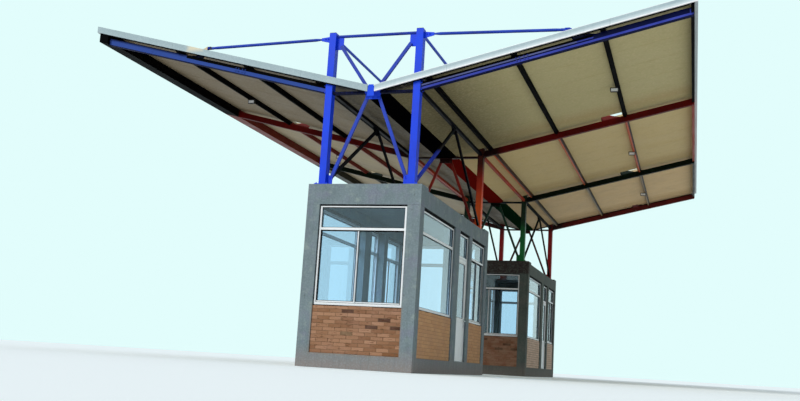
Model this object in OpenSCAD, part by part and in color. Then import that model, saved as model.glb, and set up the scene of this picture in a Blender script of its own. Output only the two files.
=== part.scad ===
// Guard booths under a butterfly canopy: two equal booths in line, each carrying two
// painted steel frames, with one valley roof over both and over the lanes at their sides.
// Plan axes while drawing: x across from the valley line, y back from the front booth's
// face, z up from the ground. At the end everything moves to the centre of its plan.

/* [Booths] */
// Outside width of a booth
booth_w = 2300; // [2000:50:2800]
// Outside depth of a booth
booth_d = 5900; // [5600:50:6600]
// Height of a cross beam
cross_beam_h = 400; // [300:10:500]
// Distance from the front booth's face to the rear booth's face
booth_pitch = 11750; // [9000:50:14000]
// Height of the floor above the ground
floor_h = 270; // [150:10:400]
// Height of the brick panels' tops
sill_h = 1170; // [900:10:1300]
// Height of the beams' undersides
head_h = 3100; // [2800:10:3200]
// Side of a corner column
column_w = 260; // [200:10:320]
// Width along the wall of the column before the door
wide_column_w = 400; // [300:10:500]
// Width along the wall of the column behind the door
slim_column_w = 250; // [200:10:320]
// Width along the wall of the window bay before the door
long_bay = 2440; // [1800:10:2600]
// Depth of a cross beam
cross_beam_d = 460; // [300:10:600]
// Drop from the cross beams' tops to the roof
roof_step = 60; // [20:5:120]
// Thickness of the roof slab
roof_slab_t = 120; // [80:10:200]
// Thickness of a brick panel
brick_t = 120; // [90:5:150]
// Setback of the brick from the columns' faces
brick_setback = 25; // [0:5:60]

/* [Windows] */
// Width of a window frame's bars
bar_w = 50; // [30:5:80]
// Depth of a window frame
bar_d = 60; // [40:5:90]
// Setback of the windows from the columns' faces
window_setback = 40; // [10:5:80]
// Height of the window transoms' middles
transom_h = 2630; // [2300:10:2800]
// Thickness of the glass
glass_t = 8; // [6:1:12]

/* [Doors] */
// Width of a door bay between its columns
door_bay = 900; // [800:10:1100]
// Height of the door frame's head bar, at its middle
door_head_h = 2540; // [2300:10:2700]
// Thickness of a door leaf
leaf_t = 45; // [35:1:60]
// Width of a leaf's stiles and rails
stile_w = 75; // [50:5:120]
// Clear gap round a leaf
leaf_gap = 7; // [7:1:12]
// Height of a leaf's foot rail
kick_h = 120; // [80:5:200]
// Radius of a hinge knuckle
knuckle_r = 9; // [7:1:14]
// Height of one hinge knuckle
knuckle_h = 50; // [30:5:80]

/* [Canopy] */
// Distance from a booth's end to the frame that stands on it
frame_inset = 150; // [120:5:250]
// Height of the rafters' underside if carried on to the valley line
valley_h = 5120; // [4800:10:5600]
// Slope of the roof, in degrees
pitch = 13.7; // [8:0.1:18]
// Reach of the left rafters from the valley line
left_rafter = 6180; // [5990:10:6370]
// Reach of the right rafters from the valley line
right_rafter = 5980; // [5700:10:5985]
// Reach of the left eave box's inner face
left_box_in = 5960; // [5700:10:5980]
// Reach of the right eave box's inner face
right_box_in = 5930; // [5600:10:5960]
// Height of the right eave box's underside above the rafters' underside
right_box_low = 50; // [0:5:100]
// Reach of the left eave
left_eave = 6450; // [6440:10:7200]
// Reach of the right eave
right_eave = 6050; // [6050:10:7200]
// Overhang of the roof past the end frames' middles
end_over = 130; // [100:5:400]
// Depth of a rafter
rafter_d = 150; // [120:5:220]
// Width of a rafter
rafter_w = 100; // [70:5:140]
// Depth of a purlin
purlin_d = 60; // [50:5:100]
// Width of a purlin
purlin_w = 100; // [60:5:120]
// Distance between purlins along the plan
purlin_pitch = 1630; // [1500:10:1720]
// Distance of the first purlin from the valley line
first_purlin = 1180; // [1120:10:1400]
// Thickness of the roof panels
panel_t = 50; // [40:5:100]
// Height of the fascia
fascia_h = 135; // [110:5:200]
// Drop of the end fascias under the roof panels
fascia_drop = 19; // [5:1:30]
// Drop of the eave fascias under the roof panels
eave_drop = 30; // [26:1:60]
// Width of the fold at an eave fascia's foot
fold_w = 60; // [40:5:65]
// Thickness of the fold
fold_t = 8; // [4:1:10]
// Thickness of the fascia
fascia_t = 30; // [15:5:50]
// Half width of the open valley between the panels
valley_gap = 170; // [150:5:180]
// Half width of the gap between the two halves of an end fascia
fascia_gap = 70; // [40:5:100]
// Width of the valley gutter at its top
gutter_w = 520; // [440:10:600]
// Width of the valley gutter's floor
gutter_floor_w = 400; // [340:10:420]
// Depth of the valley gutter
gutter_d = 60; // [50:5:120]
// Wall of the valley gutter
gutter_t = 6; // [4:1:12]

/* [Posts and ties] */
// Distance of a post's middle from the valley line
post_x = 910; // [800:10:1000]
// Width of a post
post_w = 140; // [100:5:180]
// Depth of a post
post_d = 170; // [120:5:200]
// Rise of the posts' tops above the rafters' underside at the valley line
post_rise = 1480; // [1380:10:1800]
// Side of a post's base plate
plate_w = 280; // [220:10:320]
// Thickness of a base plate
plate_t = 16; // [10:1:30]
// Width of the braces
brace_w = 65; // [40:5:80]
// Depth of the braces
brace_d = 45; // [30:5:60]
// Thickness of the gusset plates
gusset_t = 14; // [8:1:24]
// Radius of the round ties
tie_r = 30; // [20:1:45]
// Distance of the outer ties' lugs from the valley line
lug_x = 3740; // [3500:10:3900]
// Height of a lug's pin above its rafter
lug_rise = 254; // [244:2:320]
// Drop from a post's top to the outer ties
tie_drop = 100; // [90:5:180]
// Radius of a lug's pin
pin_r = 13; // [8:1:18]
// Side of the long beams between posts
long_beam_w = 70; // [50:5:90]
// Depth of the level beam between a frame's two posts
link_d = 45; // [30:5:60]

/* [Lights] */
// Width of a floodlight
light_w = 190; // [160:10:260]
// Height of a floodlight's housing
light_h = 110; // [90:10:160]
// Depth of a floodlight's housing
light_d = 100; // [80:10:160]
// Side of a floodlight's bracket
bracket_w = 30; // [20:5:50]

/* [Hidden] */

concrete = [0.56, 0.59, 0.60];
brick = [0.62, 0.47, 0.34];
white = [0.93, 0.95, 0.95];
glass = [0.62, 0.76, 0.80, 0.4];
blue = [0.13, 0.33, 0.85];
red = [0.55, 0.14, 0.10];
green = [0.10, 0.36, 0.20];
crimson = [0.40, 0.10, 0.12];
steel = [0.12, 0.13, 0.18];
orange = [0.66, 0.25, 0.12];
dark_green = [0.12, 0.22, 0.15];
cream = [0.66, 0.64, 0.50];
pale = [0.68, 0.76, 0.77];

seat = 0.3;                 // running gap between pieces that move or pin together
half_w = booth_w / 2;
booth_h = head_h + cross_beam_h;            // the cross beams' tops
post_top = valley_h + post_rise;
frame_bay = booth_d - 2 * frame_inset;
centre_x = (right_eave - left_eave) / 2;
centre_y = (booth_pitch + booth_d) / 2;
rise = tan(pitch);
rafter_rise = rafter_d / cos(pitch);        // the rafter's depth, measured plumb
panel_low = (rafter_d + purlin_d + 2 * seat) / cos(pitch);
panel_high = panel_low + panel_t / cos(pitch);
post_inner = post_x - post_w / 2;
post_outer = post_x + post_w / 2;
roof_h = booth_h - roof_step;
tie_h = post_top - tie_drop;                // height of the outer ties at the posts
lug_h = over(lug_x) + lug_rise;

// Bays along a side wall, from the front: where each starts and how long it is
door_start = column_w + long_bay + wide_column_w;
short_start = door_start + door_bay + slim_column_w;
short_bay = booth_d - column_w - short_start;

// Height of the rafters' underside at a distance from the valley line
function under(x) = valley_h + rise * abs(x);
// Height of the rafters' top there
function over(x) = under(x) + rafter_rise;
// Place along y of frame 0 to 3, from the front
function frame_y(i) = floor(i / 2) * booth_pitch + frame_inset + (i % 2) * frame_bay;
// Point in a wing's section: s along the slope, h square to it
function on_wing(side, s, h) =
    [side * (s * cos(pitch) - h * sin(pitch)), valley_h + s * sin(pitch) + h * cos(pitch)];

// Everything is drawn in plan axes and then stands round the centre of its plan
module centred() translate([-centre_x, -centre_y, 0]) children();

module at_booth(b) translate([0, b * booth_pitch, 0]) children();

// Box from its lowest to its highest corner
module block(a, b) translate(a) cube(b - a);

// Outline in the xz plane, carried from y0 to y1
module section(y0, y1) translate([0, y1, 0]) rotate([90, 0, 0]) linear_extrude(height = y1 - y0) children();

// Square bar between two points [x, z] of a frame, from y0 to y1
module frame_bar(p, q, w, y0, y1) {
    d = q - p;
    translate([p[0], 0, p[1]]) rotate([0, -atan2(d[1], d[0]), 0])
        block([0, y0, -w / 2], [norm(d), y1, w / 2]);
}

// Square bar between two points [y, z] of a side, from x0 to x1
module side_bar(p, q, w, x0, x1) {
    d = q - p;
    translate([0, p[0], p[1]]) rotate([atan2(d[1], d[0]), 0, 0])
        block([x0, 0, -w / 2], [x1, norm(d), w / 2]);
}

// Booth structure

module booth_base() color(concrete) block([-half_w, 0, 0], [half_w, booth_d, floor_h]);

module column(y, length, depth, side)
    block([side > 0 ? half_w - depth : -half_w, y, floor_h],
          [side > 0 ? half_w : depth - half_w, y + length, head_h]);

module booth_columns() color(concrete)
    for (side = [-1, 1]) {
        column(0, column_w, column_w, side);
        column(column_w + long_bay, wide_column_w, column_w, side);
        column(door_start + door_bay, slim_column_w, column_w, side);
        column(booth_d - column_w, column_w, column_w, side);
    }

module booth_cross_beams() color(concrete)
    for (y = [0, booth_d - cross_beam_d])
        block([-half_w, y, head_h], [half_w, y + cross_beam_d, booth_h]);

// Side beams and the slab between them, cast in one
module booth_roof() color(concrete) {
    y1 = cross_beam_d;
    y2 = booth_d - cross_beam_d;
    for (side = [-1, 1])
        translate([side * (half_w - column_w / 2) - column_w / 2, y1, head_h])
            cube([column_w, y2 - y1, roof_h - head_h]);
    block([column_w - half_w, y1, roof_h - roof_slab_t], [half_w - column_w, y2, roof_h]);
}

// Panel or window that fills a side bay: y and length along the wall, setback, thickness, heights
module side_fill(side, y, length, back, t, z0, z1)
    translate([side > 0 ? half_w - back - t : back - half_w, y, z0]) cube([t, length, z1 - z0]);

module end_fill(end, back, t, z0, z1)
    block([column_w - half_w, end ? booth_d - back - t : back, z0],
          [half_w - column_w, end ? booth_d - back : back + t, z1]);

module booth_brick_panels() color(brick) {
    for (end = [0, 1]) end_fill(end, brick_setback, brick_t, floor_h, sill_h);
    for (side = [-1, 1]) {
        side_fill(side, column_w, long_bay, brick_setback, brick_t, floor_h, sill_h);
        side_fill(side, short_start, short_bay, brick_setback, brick_t, floor_h, sill_h);
    }
    side_fill(-1, door_start, door_bay, brick_setback, brick_t, floor_h, sill_h);
}

// Windows: a frame with one transom, drawn flat with x along the wall and y up

module window_outline(length, z0, z1) difference() {
    translate([0, z0]) square([length, z1 - z0]);
    for (pane = [[z0 + bar_w, transom_h - bar_w / 2], [transom_h + bar_w / 2, z1 - bar_w]])
        translate([bar_w, pane[0]]) square([length - 2 * bar_w, pane[1] - pane[0]]);
}

module pane_outline(length, z0, z1)
    for (pane = [[z0 + bar_w, transom_h - bar_w / 2], [transom_h + bar_w / 2, z1 - bar_w]])
        translate([bar_w, pane[0]]) square([length - 2 * bar_w, pane[1] - pane[0]]);

// Stands a flat outline in an end wall, with its outer face set back
module in_end_wall(end, back, t)
    translate([column_w - half_w, end ? booth_d - back : back + t, 0]) rotate([90, 0, 0])
        linear_extrude(height = t) children();

// Stands a flat outline in a side wall, with its outer face set back
module in_side_wall(side, y, back, t)
    translate([side > 0 ? half_w - back - t : back - half_w, y, 0]) rotate([90, 0, 90])
        linear_extrude(height = t) children();

end_length = booth_w - 2 * column_w;
pane_back = window_setback + (bar_d - glass_t) / 2;

module booth_window_frames() color(white) {
    for (end = [0, 1]) in_end_wall(end, window_setback, bar_d) window_outline(end_length, sill_h, head_h);
    for (side = [-1, 1]) {
        in_side_wall(side, column_w, window_setback, bar_d) window_outline(long_bay, sill_h, head_h);
        in_side_wall(side, short_start, window_setback, bar_d) window_outline(short_bay, sill_h, head_h);
    }
    in_side_wall(-1, door_start, window_setback, bar_d) window_outline(door_bay, sill_h, head_h);
}

module booth_glass() color(glass) {
    for (end = [0, 1]) in_end_wall(end, pane_back, glass_t) pane_outline(end_length, sill_h, head_h);
    for (side = [-1, 1]) {
        in_side_wall(side, column_w, pane_back, glass_t) pane_outline(long_bay, sill_h, head_h);
        in_side_wall(side, short_start, pane_back, glass_t) pane_outline(short_bay, sill_h, head_h);
    }
    in_side_wall(-1, door_start, pane_back, glass_t) pane_outline(door_bay, sill_h, head_h);
    in_side_wall(1, door_start, pane_back, glass_t)
        translate([bar_w, door_head_h + bar_w / 2])
            square([door_bay - 2 * bar_w, head_h - bar_w - door_head_h - bar_w / 2]);
}

// Door in the right-hand wall: the leaf lifts off two pins on the frame's front jamb

leaf_face = half_w - window_setback;                    // outer face of frame and leaf
leaf_low = floor_h + 2 * leaf_gap;
leaf_high = door_head_h - bar_w / 2 - leaf_gap;
leaf_w = door_bay - 2 * bar_w - 2 * leaf_gap;
leaf_y = door_start + bar_w + leaf_gap;
hinge_x = leaf_face + knuckle_r + seat;
hinge_y = leaf_y - leaf_gap / 2;
hinge_inset = 250;
hinge_zs = [leaf_low + hinge_inset, leaf_high - hinge_inset - 2 * knuckle_h];
hinge_pin_r = knuckle_r / 2;
pin_clear = 0.1;
pin_h = knuckle_h - 5;
flap_t = 4;
flap_w = 42;
sunk = 2;                                   // how far flaps and handles are let into what carries them

module booth_door_frame() color(white) {
    in_side_wall(1, door_start, window_setback, bar_d) difference() {
        translate([0, floor_h]) square([door_bay, head_h - floor_h]);
        translate([bar_w, floor_h - 1]) square([door_bay - 2 * bar_w, door_head_h - bar_w / 2 - floor_h + 1]);
        translate([bar_w, door_head_h + bar_w / 2])
            square([door_bay - 2 * bar_w, head_h - bar_w - door_head_h - bar_w / 2]);
    }
    for (z = hinge_zs) {
        translate([hinge_x, hinge_y, z]) cylinder(r = knuckle_r, h = knuckle_h, $fn = 32);
        translate([hinge_x, hinge_y, z + knuckle_h]) cylinder(r = hinge_pin_r, h = pin_h, $fn = 32);
        block([leaf_face - sunk, hinge_y - flap_w, z], [leaf_face + flap_t, hinge_y, z + knuckle_h]);
    }
}

module booth_door() color(white) {
    x0 = leaf_face - leaf_t;
    difference() {
        union() {
            translate([x0, leaf_y, 0]) rotate([90, 0, 90]) linear_extrude(height = leaf_t) difference() {
                translate([0, leaf_low]) square([leaf_w, leaf_high - leaf_low]);
                for (bay = [leaf_light, leaf_panel]) leaf_bay(bay);
            }
            translate([x0 + panel_inset, leaf_y, 0]) rotate([90, 0, 90])
                linear_extrude(height = leaf_t - 2 * panel_inset) leaf_bay(leaf_panel);
            for (z = hinge_zs) {
                translate([hinge_x, hinge_y, z + knuckle_h + seat])
                    cylinder(r = knuckle_r, h = knuckle_h, $fn = 32);
                block([leaf_face - sunk, hinge_y, z + knuckle_h + seat],
                      [leaf_face + flap_t, hinge_y + flap_w, z + 2 * knuckle_h + seat]);
            }
            door_handle();
        }
        for (z = hinge_zs)
            translate([hinge_x, hinge_y, z + knuckle_h])
                cylinder(r = hinge_pin_r + pin_clear, h = knuckle_h, $fn = 32);
    }
}

leaf_light = [sill_h + stile_w / 2, leaf_high - stile_w];            // from and to height of the leaf's glass
leaf_panel = [leaf_low + kick_h, sill_h - stile_w / 2];              // and of the thin panel under it
panel_inset = 12;
handle_reach = 45;
spindle_r = 10;
lever_t = 14;
lever_l = 130;

module leaf_bay(bay) translate([stile_w, bay[0]]) square([leaf_w - 2 * stile_w, bay[1] - bay[0]]);

// Lever handles on both faces, on one spindle through the lock stile
module door_handle() {
    y = leaf_y + leaf_w - stile_w / 2;
    for (face = [0, 1]) {
        x = face ? leaf_face - sunk : leaf_face - leaf_t - handle_reach + sunk;
        translate([x, y, sill_h]) rotate([0, 90, 0]) cylinder(r = spindle_r, h = handle_reach, $fn = 24);
        translate([face ? x + handle_reach - lever_t : x, y - lever_l + spindle_r, sill_h - spindle_r])
            cube([lever_t, lever_l, 2 * spindle_r]);
    }
}

module booth_door_glass() color(glass)
    translate([leaf_face - leaf_t / 2 - glass_t / 2, leaf_y, 0]) rotate([90, 0, 90])
        linear_extrude(height = glass_t) leaf_bay(leaf_light);

// Canopy frames. Each stands on a booth's cross beam in the plane y = frame_y(i)

plate_top = booth_h + plate_t;
foot_z = booth_h + plate_t / 2;             // foot gussets are let into the base plate
middle_tie_z = post_top - tie_r - 30;
gusset_high = middle_tie_z - tie_r;         // the inner gusset ends under the middle tie
gusset_low = gusset_high - 245;
gusset_in = post_inner - 145;
gusset_cut = [40, 60];                      // its lower inner corner is cut off by this much
outer_gusset = post_outer + 200;
outer_gusset_up = 60;
outer_gusset_down = 95;
foot_gusset = 110;
foot_gusset_h = 250;
foot_gusset_edge = 175;                     // height of its outer edge
brace_end = 60;                             // how far a brace's end stays inside its gusset's edge

// Post on its base plate, with the gussets that the braces and ties are bolted to.
// bay is 1 or -1 where a braced bay lies behind or in front
module post(side, bay) {
    x = side * post_x;
    block([x - post_w / 2, -post_d / 2, booth_h], [x + post_w / 2, post_d / 2, post_top]);
    block([x - plate_w / 2, -plate_w / 2, booth_h], [x + plate_w / 2, plate_w / 2, plate_top]);
    section(-gusset_t / 2, gusset_t / 2) {
        polygon([[side * post_x, gusset_high], [side * post_x, gusset_low],
                 [side * (gusset_in + gusset_cut[0]), gusset_low],
                 [side * gusset_in, gusset_low + gusset_cut[1]], [side * gusset_in, gusset_high]]);
        polygon([[side * post_x, tie_h + outer_gusset_up], [side * post_x, tie_h - outer_gusset_down],
                 [side * outer_gusset, tie_h - tie_r],
                 [side * outer_gusset, tie_h + tie_r]]);
        polygon([[side * post_x, foot_z], [side * post_x, booth_h + foot_gusset_h],
                 [side * (post_inner - foot_gusset), booth_h + foot_gusset_edge],
                 [side * (post_inner - foot_gusset), foot_z]]);
    }
    translate([x - gusset_t / 2, 0, 0]) rotate([90, 0, 90]) linear_extrude(height = gusset_t)
        polygon([[0, foot_z], [bay * (post_d / 2 + foot_gusset), foot_z],
                 [bay * (post_d / 2 + foot_gusset), booth_h + foot_gusset_edge],
                 [0, booth_h + foot_gusset_h]]);
}

module posts(i, paint) color(paint) translate([0, frame_y(i), 0])
    for (side = [-1, 1]) post(side, i % 2 == 0 ? 1 : -1);

module rafter(side, reach) section(-rafter_w / 2, rafter_w / 2)
    polygon([[side * post_outer, under(post_outer)], [side * reach, under(reach)],
             [side * reach, over(reach)], [side * post_outer, over(post_outer)]]);

// Level beam between the posts, with the plate in its middle that the braces meet at
link_z = under(valley_gap) + panel_low - link_d;        // level beam, just clear of the panels' edges
node_edge = valley_gap - 10;
node_plate = [[-150, -110], [150, -110], [node_edge, 100], [node_edge - 40, 160],
              [40 - node_edge, 160], [-node_edge, 100]];
stop_plate = [[-75, -90], [75, -90], [50, 140], [-50, 140]];
stop_arm_w = 60;

module valley_link() {
    block([-post_inner, -rafter_w / 2, link_z], [post_inner, rafter_w / 2, link_z + link_d]);
    section(-gusset_t / 2, gusset_t / 2) translate([0, link_z]) polygon(node_plate);
}

// Plate that closes the valley between the fascias' halves, on an arm from the level beam.
// It is drawn towards the rear
module valley_stop() {
    face = end_over + fascia_t;
    block([-stop_arm_w / 2, 0, link_z], [stop_arm_w / 2, face - gusset_t / 2, link_z + link_d]);
    section(face - gusset_t, face) translate([0, link_z]) polygon(stop_plate);
}

module rafters(i, paint) color(paint) translate([0, frame_y(i), 0]) {
    rafter(-1, left_rafter);
    rafter(1, right_rafter);
    valley_link();
    if (i == 0) rotate([0, 0, 180]) valley_stop();
    if (i == 3) valley_stop();
}

fork_l = 90;                                // from the tie's end to its pin
fork_t = 10;
fork_grip = 20;                             // how far the fork's cheeks run back into the tie's end
taper_l = 120;
tie_end_r = tie_r * 0.6;
fork_r = tie_r * 0.8;
cheek_y = gusset_t / 2 + seat + fork_t / 2; // from a lug's middle to a cheek's
pin_l = gusset_t + 50;

// Outer tie: round bar with tapered ends and a fork over the lug
module outer_tie(side) {
    p = [side * (outer_gusset + 2 * seat), tie_h];
    q = [side * lug_x, lug_h];
    d = q - p;
    length = norm(d);
    translate([p[0], 0, p[1]]) rotate([0, 90 - atan2(d[1], d[0]), 0]) {
        cylinder(r1 = tie_end_r, r2 = tie_r, h = taper_l, $fn = 32);
        translate([0, 0, taper_l]) cylinder(r = tie_r, h = length - fork_l - 2 * taper_l, $fn = 32);
        translate([0, 0, length - fork_l - taper_l]) cylinder(r1 = tie_r, r2 = fork_r, h = taper_l, $fn = 32);
        for (s = [-1, 1])
            translate([-fork_r, s * cheek_y - fork_t / 2, length - fork_l - fork_grip])
                cube([2 * fork_r, fork_t, fork_l + fork_grip + tie_r]);
        translate([0, 0, length]) rotate([90, 0, 0])
            cylinder(r = pin_r - seat, h = pin_l, center = true, $fn = 32);
    }
}

lug_foot = 120;                             // from the pin out to where the lug stands on the rafter
lug_head = 45;                              // half of its length at its top
lug_over = 40;                              // how far it reaches over its pin
lug_run = 580;                              // from the pin to its tip up the rafter
lug_hollow = [300, 75];                     // what bends its back, from the pin and over the rafter
// Inner face of the third purlins, and the lugs' tips just before it
third_purlin_in = purlin_x(2) - (rafter_d + purlin_d) * sin(pitch) - purlin_w / 2 * cos(pitch);
lug_tip = min(lug_x + lug_run, third_purlin_in - 24);

// Point at t from 0 to 1 of the curve that leaves a towards m and comes to b
function bend(a, m, b, t) = (1 - t) * (1 - t) * a + 2 * t * (1 - t) * m + t * t * b;

// Lug that stands on the rafter and leans to the valley, up through the roof, with a hollow back
module lug(side) difference() {
    head = [lug_x + lug_head, lug_h + lug_over];
    middle = [lug_x + lug_hollow[0], over(lug_x + lug_hollow[0]) + lug_hollow[1]];
    tip = [lug_tip, over(lug_tip)];
    outline = concat([[lug_x - lug_head, lug_h + lug_over], [lug_x + lug_foot, over(lug_x + lug_foot)]],
                     [for (k = [10 : -1 : 0]) bend(head, middle, tip, k / 10)]);
    section(-gusset_t / 2, gusset_t / 2) polygon([for (p = outline) [side * p[0], p[1]]]);
    translate([side * lug_x, 0, lug_h]) rotate([90, 0, 0])
        cylinder(r = pin_r, h = gusset_t + 2, center = true, $fn = 32);
}

upper_v = 70;                               // height of the upper braces' feet above the level beam
upper_v_x = 115;                            // half the distance between them
lower_v_x = 120;                            // half the distance between the lower braces' heads
foot_grip = 110;                            // height of a brace's end above the base plate

// Braces and ties of one frame. The upper braces lie against the front of the gussets,
// the lower ones against their back
module bracing(i, paint) color(paint) translate([0, frame_y(i), 0]) {
    near = gusset_t / 2;
    far = near + brace_d;
    for (side = [-1, 1]) {
        frame_bar([side * (gusset_in + brace_w / 2), gusset_low + brace_end],
                  [side * upper_v_x, link_z + link_d + upper_v], brace_w, -far, -near);
        frame_bar([side * lower_v_x, link_z - brace_end],
                  [side * (post_inner - brace_end), plate_top + foot_grip], brace_w, near, far);
        outer_tie(side);
        lug(side);
    }
    translate([-post_inner, 0, middle_tie_z]) rotate([0, 90, 0])
        cylinder(r = tie_r, h = 2 * post_inner, $fn = 32);
}

// Bays between the frames: bay 0 over the front booth, 1 between the booths, 2 over the rear booth

// Distance of purlin n from the valley line
function purlin_x(n) = first_purlin + n * purlin_pitch;

// Purlins reach half way over each rafter, and to the roof's ends at the end bays
function bay_start(i) = i == 0 ? frame_y(0) - end_over : frame_y(i) + seat / 2;
function bay_end(i) = i == 2 ? frame_y(3) + end_over : frame_y(i + 1) - seat / 2;

module purlin(side, x) {
    s = x / cos(pitch);
    low = rafter_d + seat;
    polygon([on_wing(side, s - purlin_w / 2, low), on_wing(side, s + purlin_w / 2, low),
             on_wing(side, s + purlin_w / 2, low + purlin_d),
             on_wing(side, s - purlin_w / 2, low + purlin_d)]);
}

// Box under the roof panel's edge, from x0 to x1 and from a height over the rafters' underside up
module eave_box(side, x0, x1, low)
    polygon([[side * x0, under(x0) + low], [side * x1, under(x1) + low],
             [side * x1, under(x1) + panel_low - seat], [side * x0, under(x0) + panel_low - seat]]);

// The left box is as deep as the rafters and runs on past their ends. The right one is
// cut at each frame and has a short end piece in front of the first and behind the last
module bay_purlins(i, paint) color(paint) {
    clear = rafter_w / 2 + seat;
    left_out = left_eave - fold_w - seat;
    right_out = right_eave - fold_w - seat;
    section(bay_start(i), bay_end(i)) {
        for (side = [-1, 1], n = [0 : 2]) purlin(side, purlin_x(n));
        eave_box(-1, left_rafter + seat, left_out, 0);
    }
    section(frame_y(i) + clear, frame_y(i + 1) - clear) {
        eave_box(-1, left_box_in, left_rafter, 0);
        eave_box(1, right_box_in, right_out, right_box_low);
    }
    if (i == 0) section(roof_start, frame_y(0) - clear) eave_box(1, right_box_in, right_out, right_box_low);
    if (i == 2) section(frame_y(3) + clear, roof_end) eave_box(1, right_box_in, right_out, right_box_low);
}

// Long beams between the posts, the braces that rise to their middles, and the top ties
beam_rise = 40;                             // from the rafters' underside at a post to the long beam
apex_plate = [[-200, 1], [-90, -150], [90, -150], [200, 1]];
apex_x = 75;                                // half the distance between the braces' heads
apex_drop = 80;

module bay_side_bracing(i, paint) color(paint) {
    y0 = frame_y(i) + post_d / 2;
    y1 = frame_y(i + 1) - post_d / 2;
    mid = (y0 + y1) / 2;
    z = under(post_x) + beam_rise;
    for (side = [-1, 1]) {
        x = side * post_x;
        block([x - long_beam_w / 2, y0, z], [x + long_beam_w / 2, y1, z + long_beam_w]);
        translate([x, y0, middle_tie_z]) rotate([-90, 0, 0]) cylinder(r = tie_r, h = y1 - y0, $fn = 32);
        if (i != 1) {
            translate([x - gusset_t / 2, mid, z]) rotate([90, 0, 90]) linear_extrude(height = gusset_t)
                polygon(apex_plate);
            for (e = [-1, 1])
                side_bar([e < 0 ? y0 + brace_end : y1 - brace_end, plate_top + foot_grip],
                         [mid + e * apex_x, z - apex_drop],
                         brace_w, x + gusset_t / 2 + seat, x + gusset_t / 2 + seat + brace_d);
        }
    }
}

// Channels with leaning walls under the open valley, one in each bay, that end at the frames
module valley_gutter() color(steel) {
    brim = gutter_w / 2;
    foot = gutter_floor_w / 2;
    high = under(brim) + panel_low - seat;
    low = high + seat - gutter_d;
    wall = 1.5 * gutter_t;                  // measured level
    clear = max(rafter_w / 2, gusset_t / 2 + brace_d) + seat;
    for (i = [0 : 2])
        section(frame_y(i) + clear, frame_y(i + 1) - clear)
            polygon([[-foot, low], [foot, low], [brim, high], [brim - wall, high - rise * wall],
                     [foot - wall, low + gutter_t], [wall - foot, low + gutter_t],
                     [wall - brim, high - rise * wall], [-brim, high]]);
}

// Roof

roof_start = frame_y(0) - end_over;
roof_end = frame_y(3) + end_over;
post_slot = 20;                             // how much wider the panels' slots are than the posts
lug_hole_in = lug_x - 80;                   // the open places round the lugs run from here
lug_hole_out = lug_tip + 10;                // to here along the rafters
lug_hole = 340;                             // and this far along the roof
slot_h = 700;

module roof_panel(side, reach) color(cream) difference() {
    section(roof_start, roof_end)
        polygon([[side * valley_gap, under(valley_gap) + panel_low],
                 [side * (reach - fascia_t), under(reach - fascia_t) + panel_low],
                 [side * (reach - fascia_t), under(reach - fascia_t) + panel_high],
                 [side * valley_gap, under(valley_gap) + panel_high]]);
    for (i = [0 : 3]) translate([0, frame_y(i), 0]) {
        translate([side * post_x, 0, under(post_x) + panel_low])
            cube([post_w + post_slot, post_d + post_slot, slot_h], center = true);
        translate([side * (lug_hole_in + lug_hole_out) / 2, 0, under(lug_x) + panel_low])
            cube([lug_hole_out - lug_hole_in, lug_hole, slot_h], center = true);
    }
}

// Strips along the front and rear edges of both wings
module end_fascias() color(pale)
    for (y = [roof_start - fascia_t, roof_end], side = [-1, 1]) {
        reach = side < 0 ? left_eave : right_eave;
        low = panel_low - fascia_drop;
        section(y, y + fascia_t)
            polygon([[side * fascia_gap, under(fascia_gap) + low], [side * reach, under(reach) + low],
                     [side * reach, under(reach) + low + fascia_h],
                     [side * fascia_gap, under(fascia_gap) + low + fascia_h]]);
    }

// Strips along the eaves, folded inwards at the foot
module eave_fascias() color(pale)
    for (side = [-1, 1]) {
        reach = side < 0 ? left_eave : right_eave;
        low = under(reach) + panel_low - eave_drop;
        high = under(reach) + panel_low - fascia_drop + fascia_h;
        section(roof_start, roof_end)
            polygon([[side * (reach - fold_w), low], [side * reach, low],
                     [side * reach, high], [side * (reach - fascia_t), high],
                     [side * (reach - fascia_t), low + fold_t], [side * (reach - fold_w), low + fold_t]]);
    }

// Floodlights hang on brackets under the third purlin of each wing, one in each bay
light_back = 410;                           // from the bay's middle
light_in = 60;                              // from its bracket towards the valley
bracket_l = 40;

module floodlights() color(steel)
    for (side = [-1, 1], i = [0 : 2]) {
        x = purlin_x(2) - rafter_d * sin(pitch);
        x0 = x - bracket_w / 2;
        x1 = x + bracket_w / 2;
        y = (frame_y(i) + frame_y(i + 1)) / 2 + light_back;
        z = over(x) - bracket_l;
        middle = side * (x - light_in);
        section(y - bracket_w / 2, y + bracket_w / 2)
            polygon([[side * x0, z], [side * x1, z], [side * x1, over(x1)], [side * x0, over(x0)]]);
        block([middle - light_w / 2, y - light_d / 2, z - light_h],
              [middle + light_w / 2, y + light_d / 2, z + 1]);
    }

centred() at_booth(0) booth_base();  // front_booth_base
centred() at_booth(0) booth_columns();  // front_booth_columns
centred() at_booth(0) booth_cross_beams();  // front_booth_cross_beams
centred() at_booth(0) booth_roof();  // front_booth_roof
centred() at_booth(0) booth_brick_panels();  // front_booth_brick_panels
centred() at_booth(0) booth_window_frames();  // front_booth_window_frames
centred() at_booth(0) booth_glass();  // front_booth_glass
centred() at_booth(0) booth_door_frame();  // front_booth_door_frame
centred() at_booth(0) booth_door();  // front_booth_door
centred() at_booth(0) booth_door_glass();  // front_booth_door_glass
centred() at_booth(1) booth_base();  // rear_booth_base
centred() at_booth(1) booth_columns();  // rear_booth_columns
centred() at_booth(1) booth_cross_beams();  // rear_booth_cross_beams
centred() at_booth(1) booth_roof();  // rear_booth_roof
centred() at_booth(1) booth_brick_panels();  // rear_booth_brick_panels
centred() at_booth(1) booth_window_frames();  // rear_booth_window_frames
centred() at_booth(1) booth_glass();  // rear_booth_glass
centred() at_booth(1) booth_door_frame();  // rear_booth_door_frame
centred() at_booth(1) booth_door();  // rear_booth_door
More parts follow.
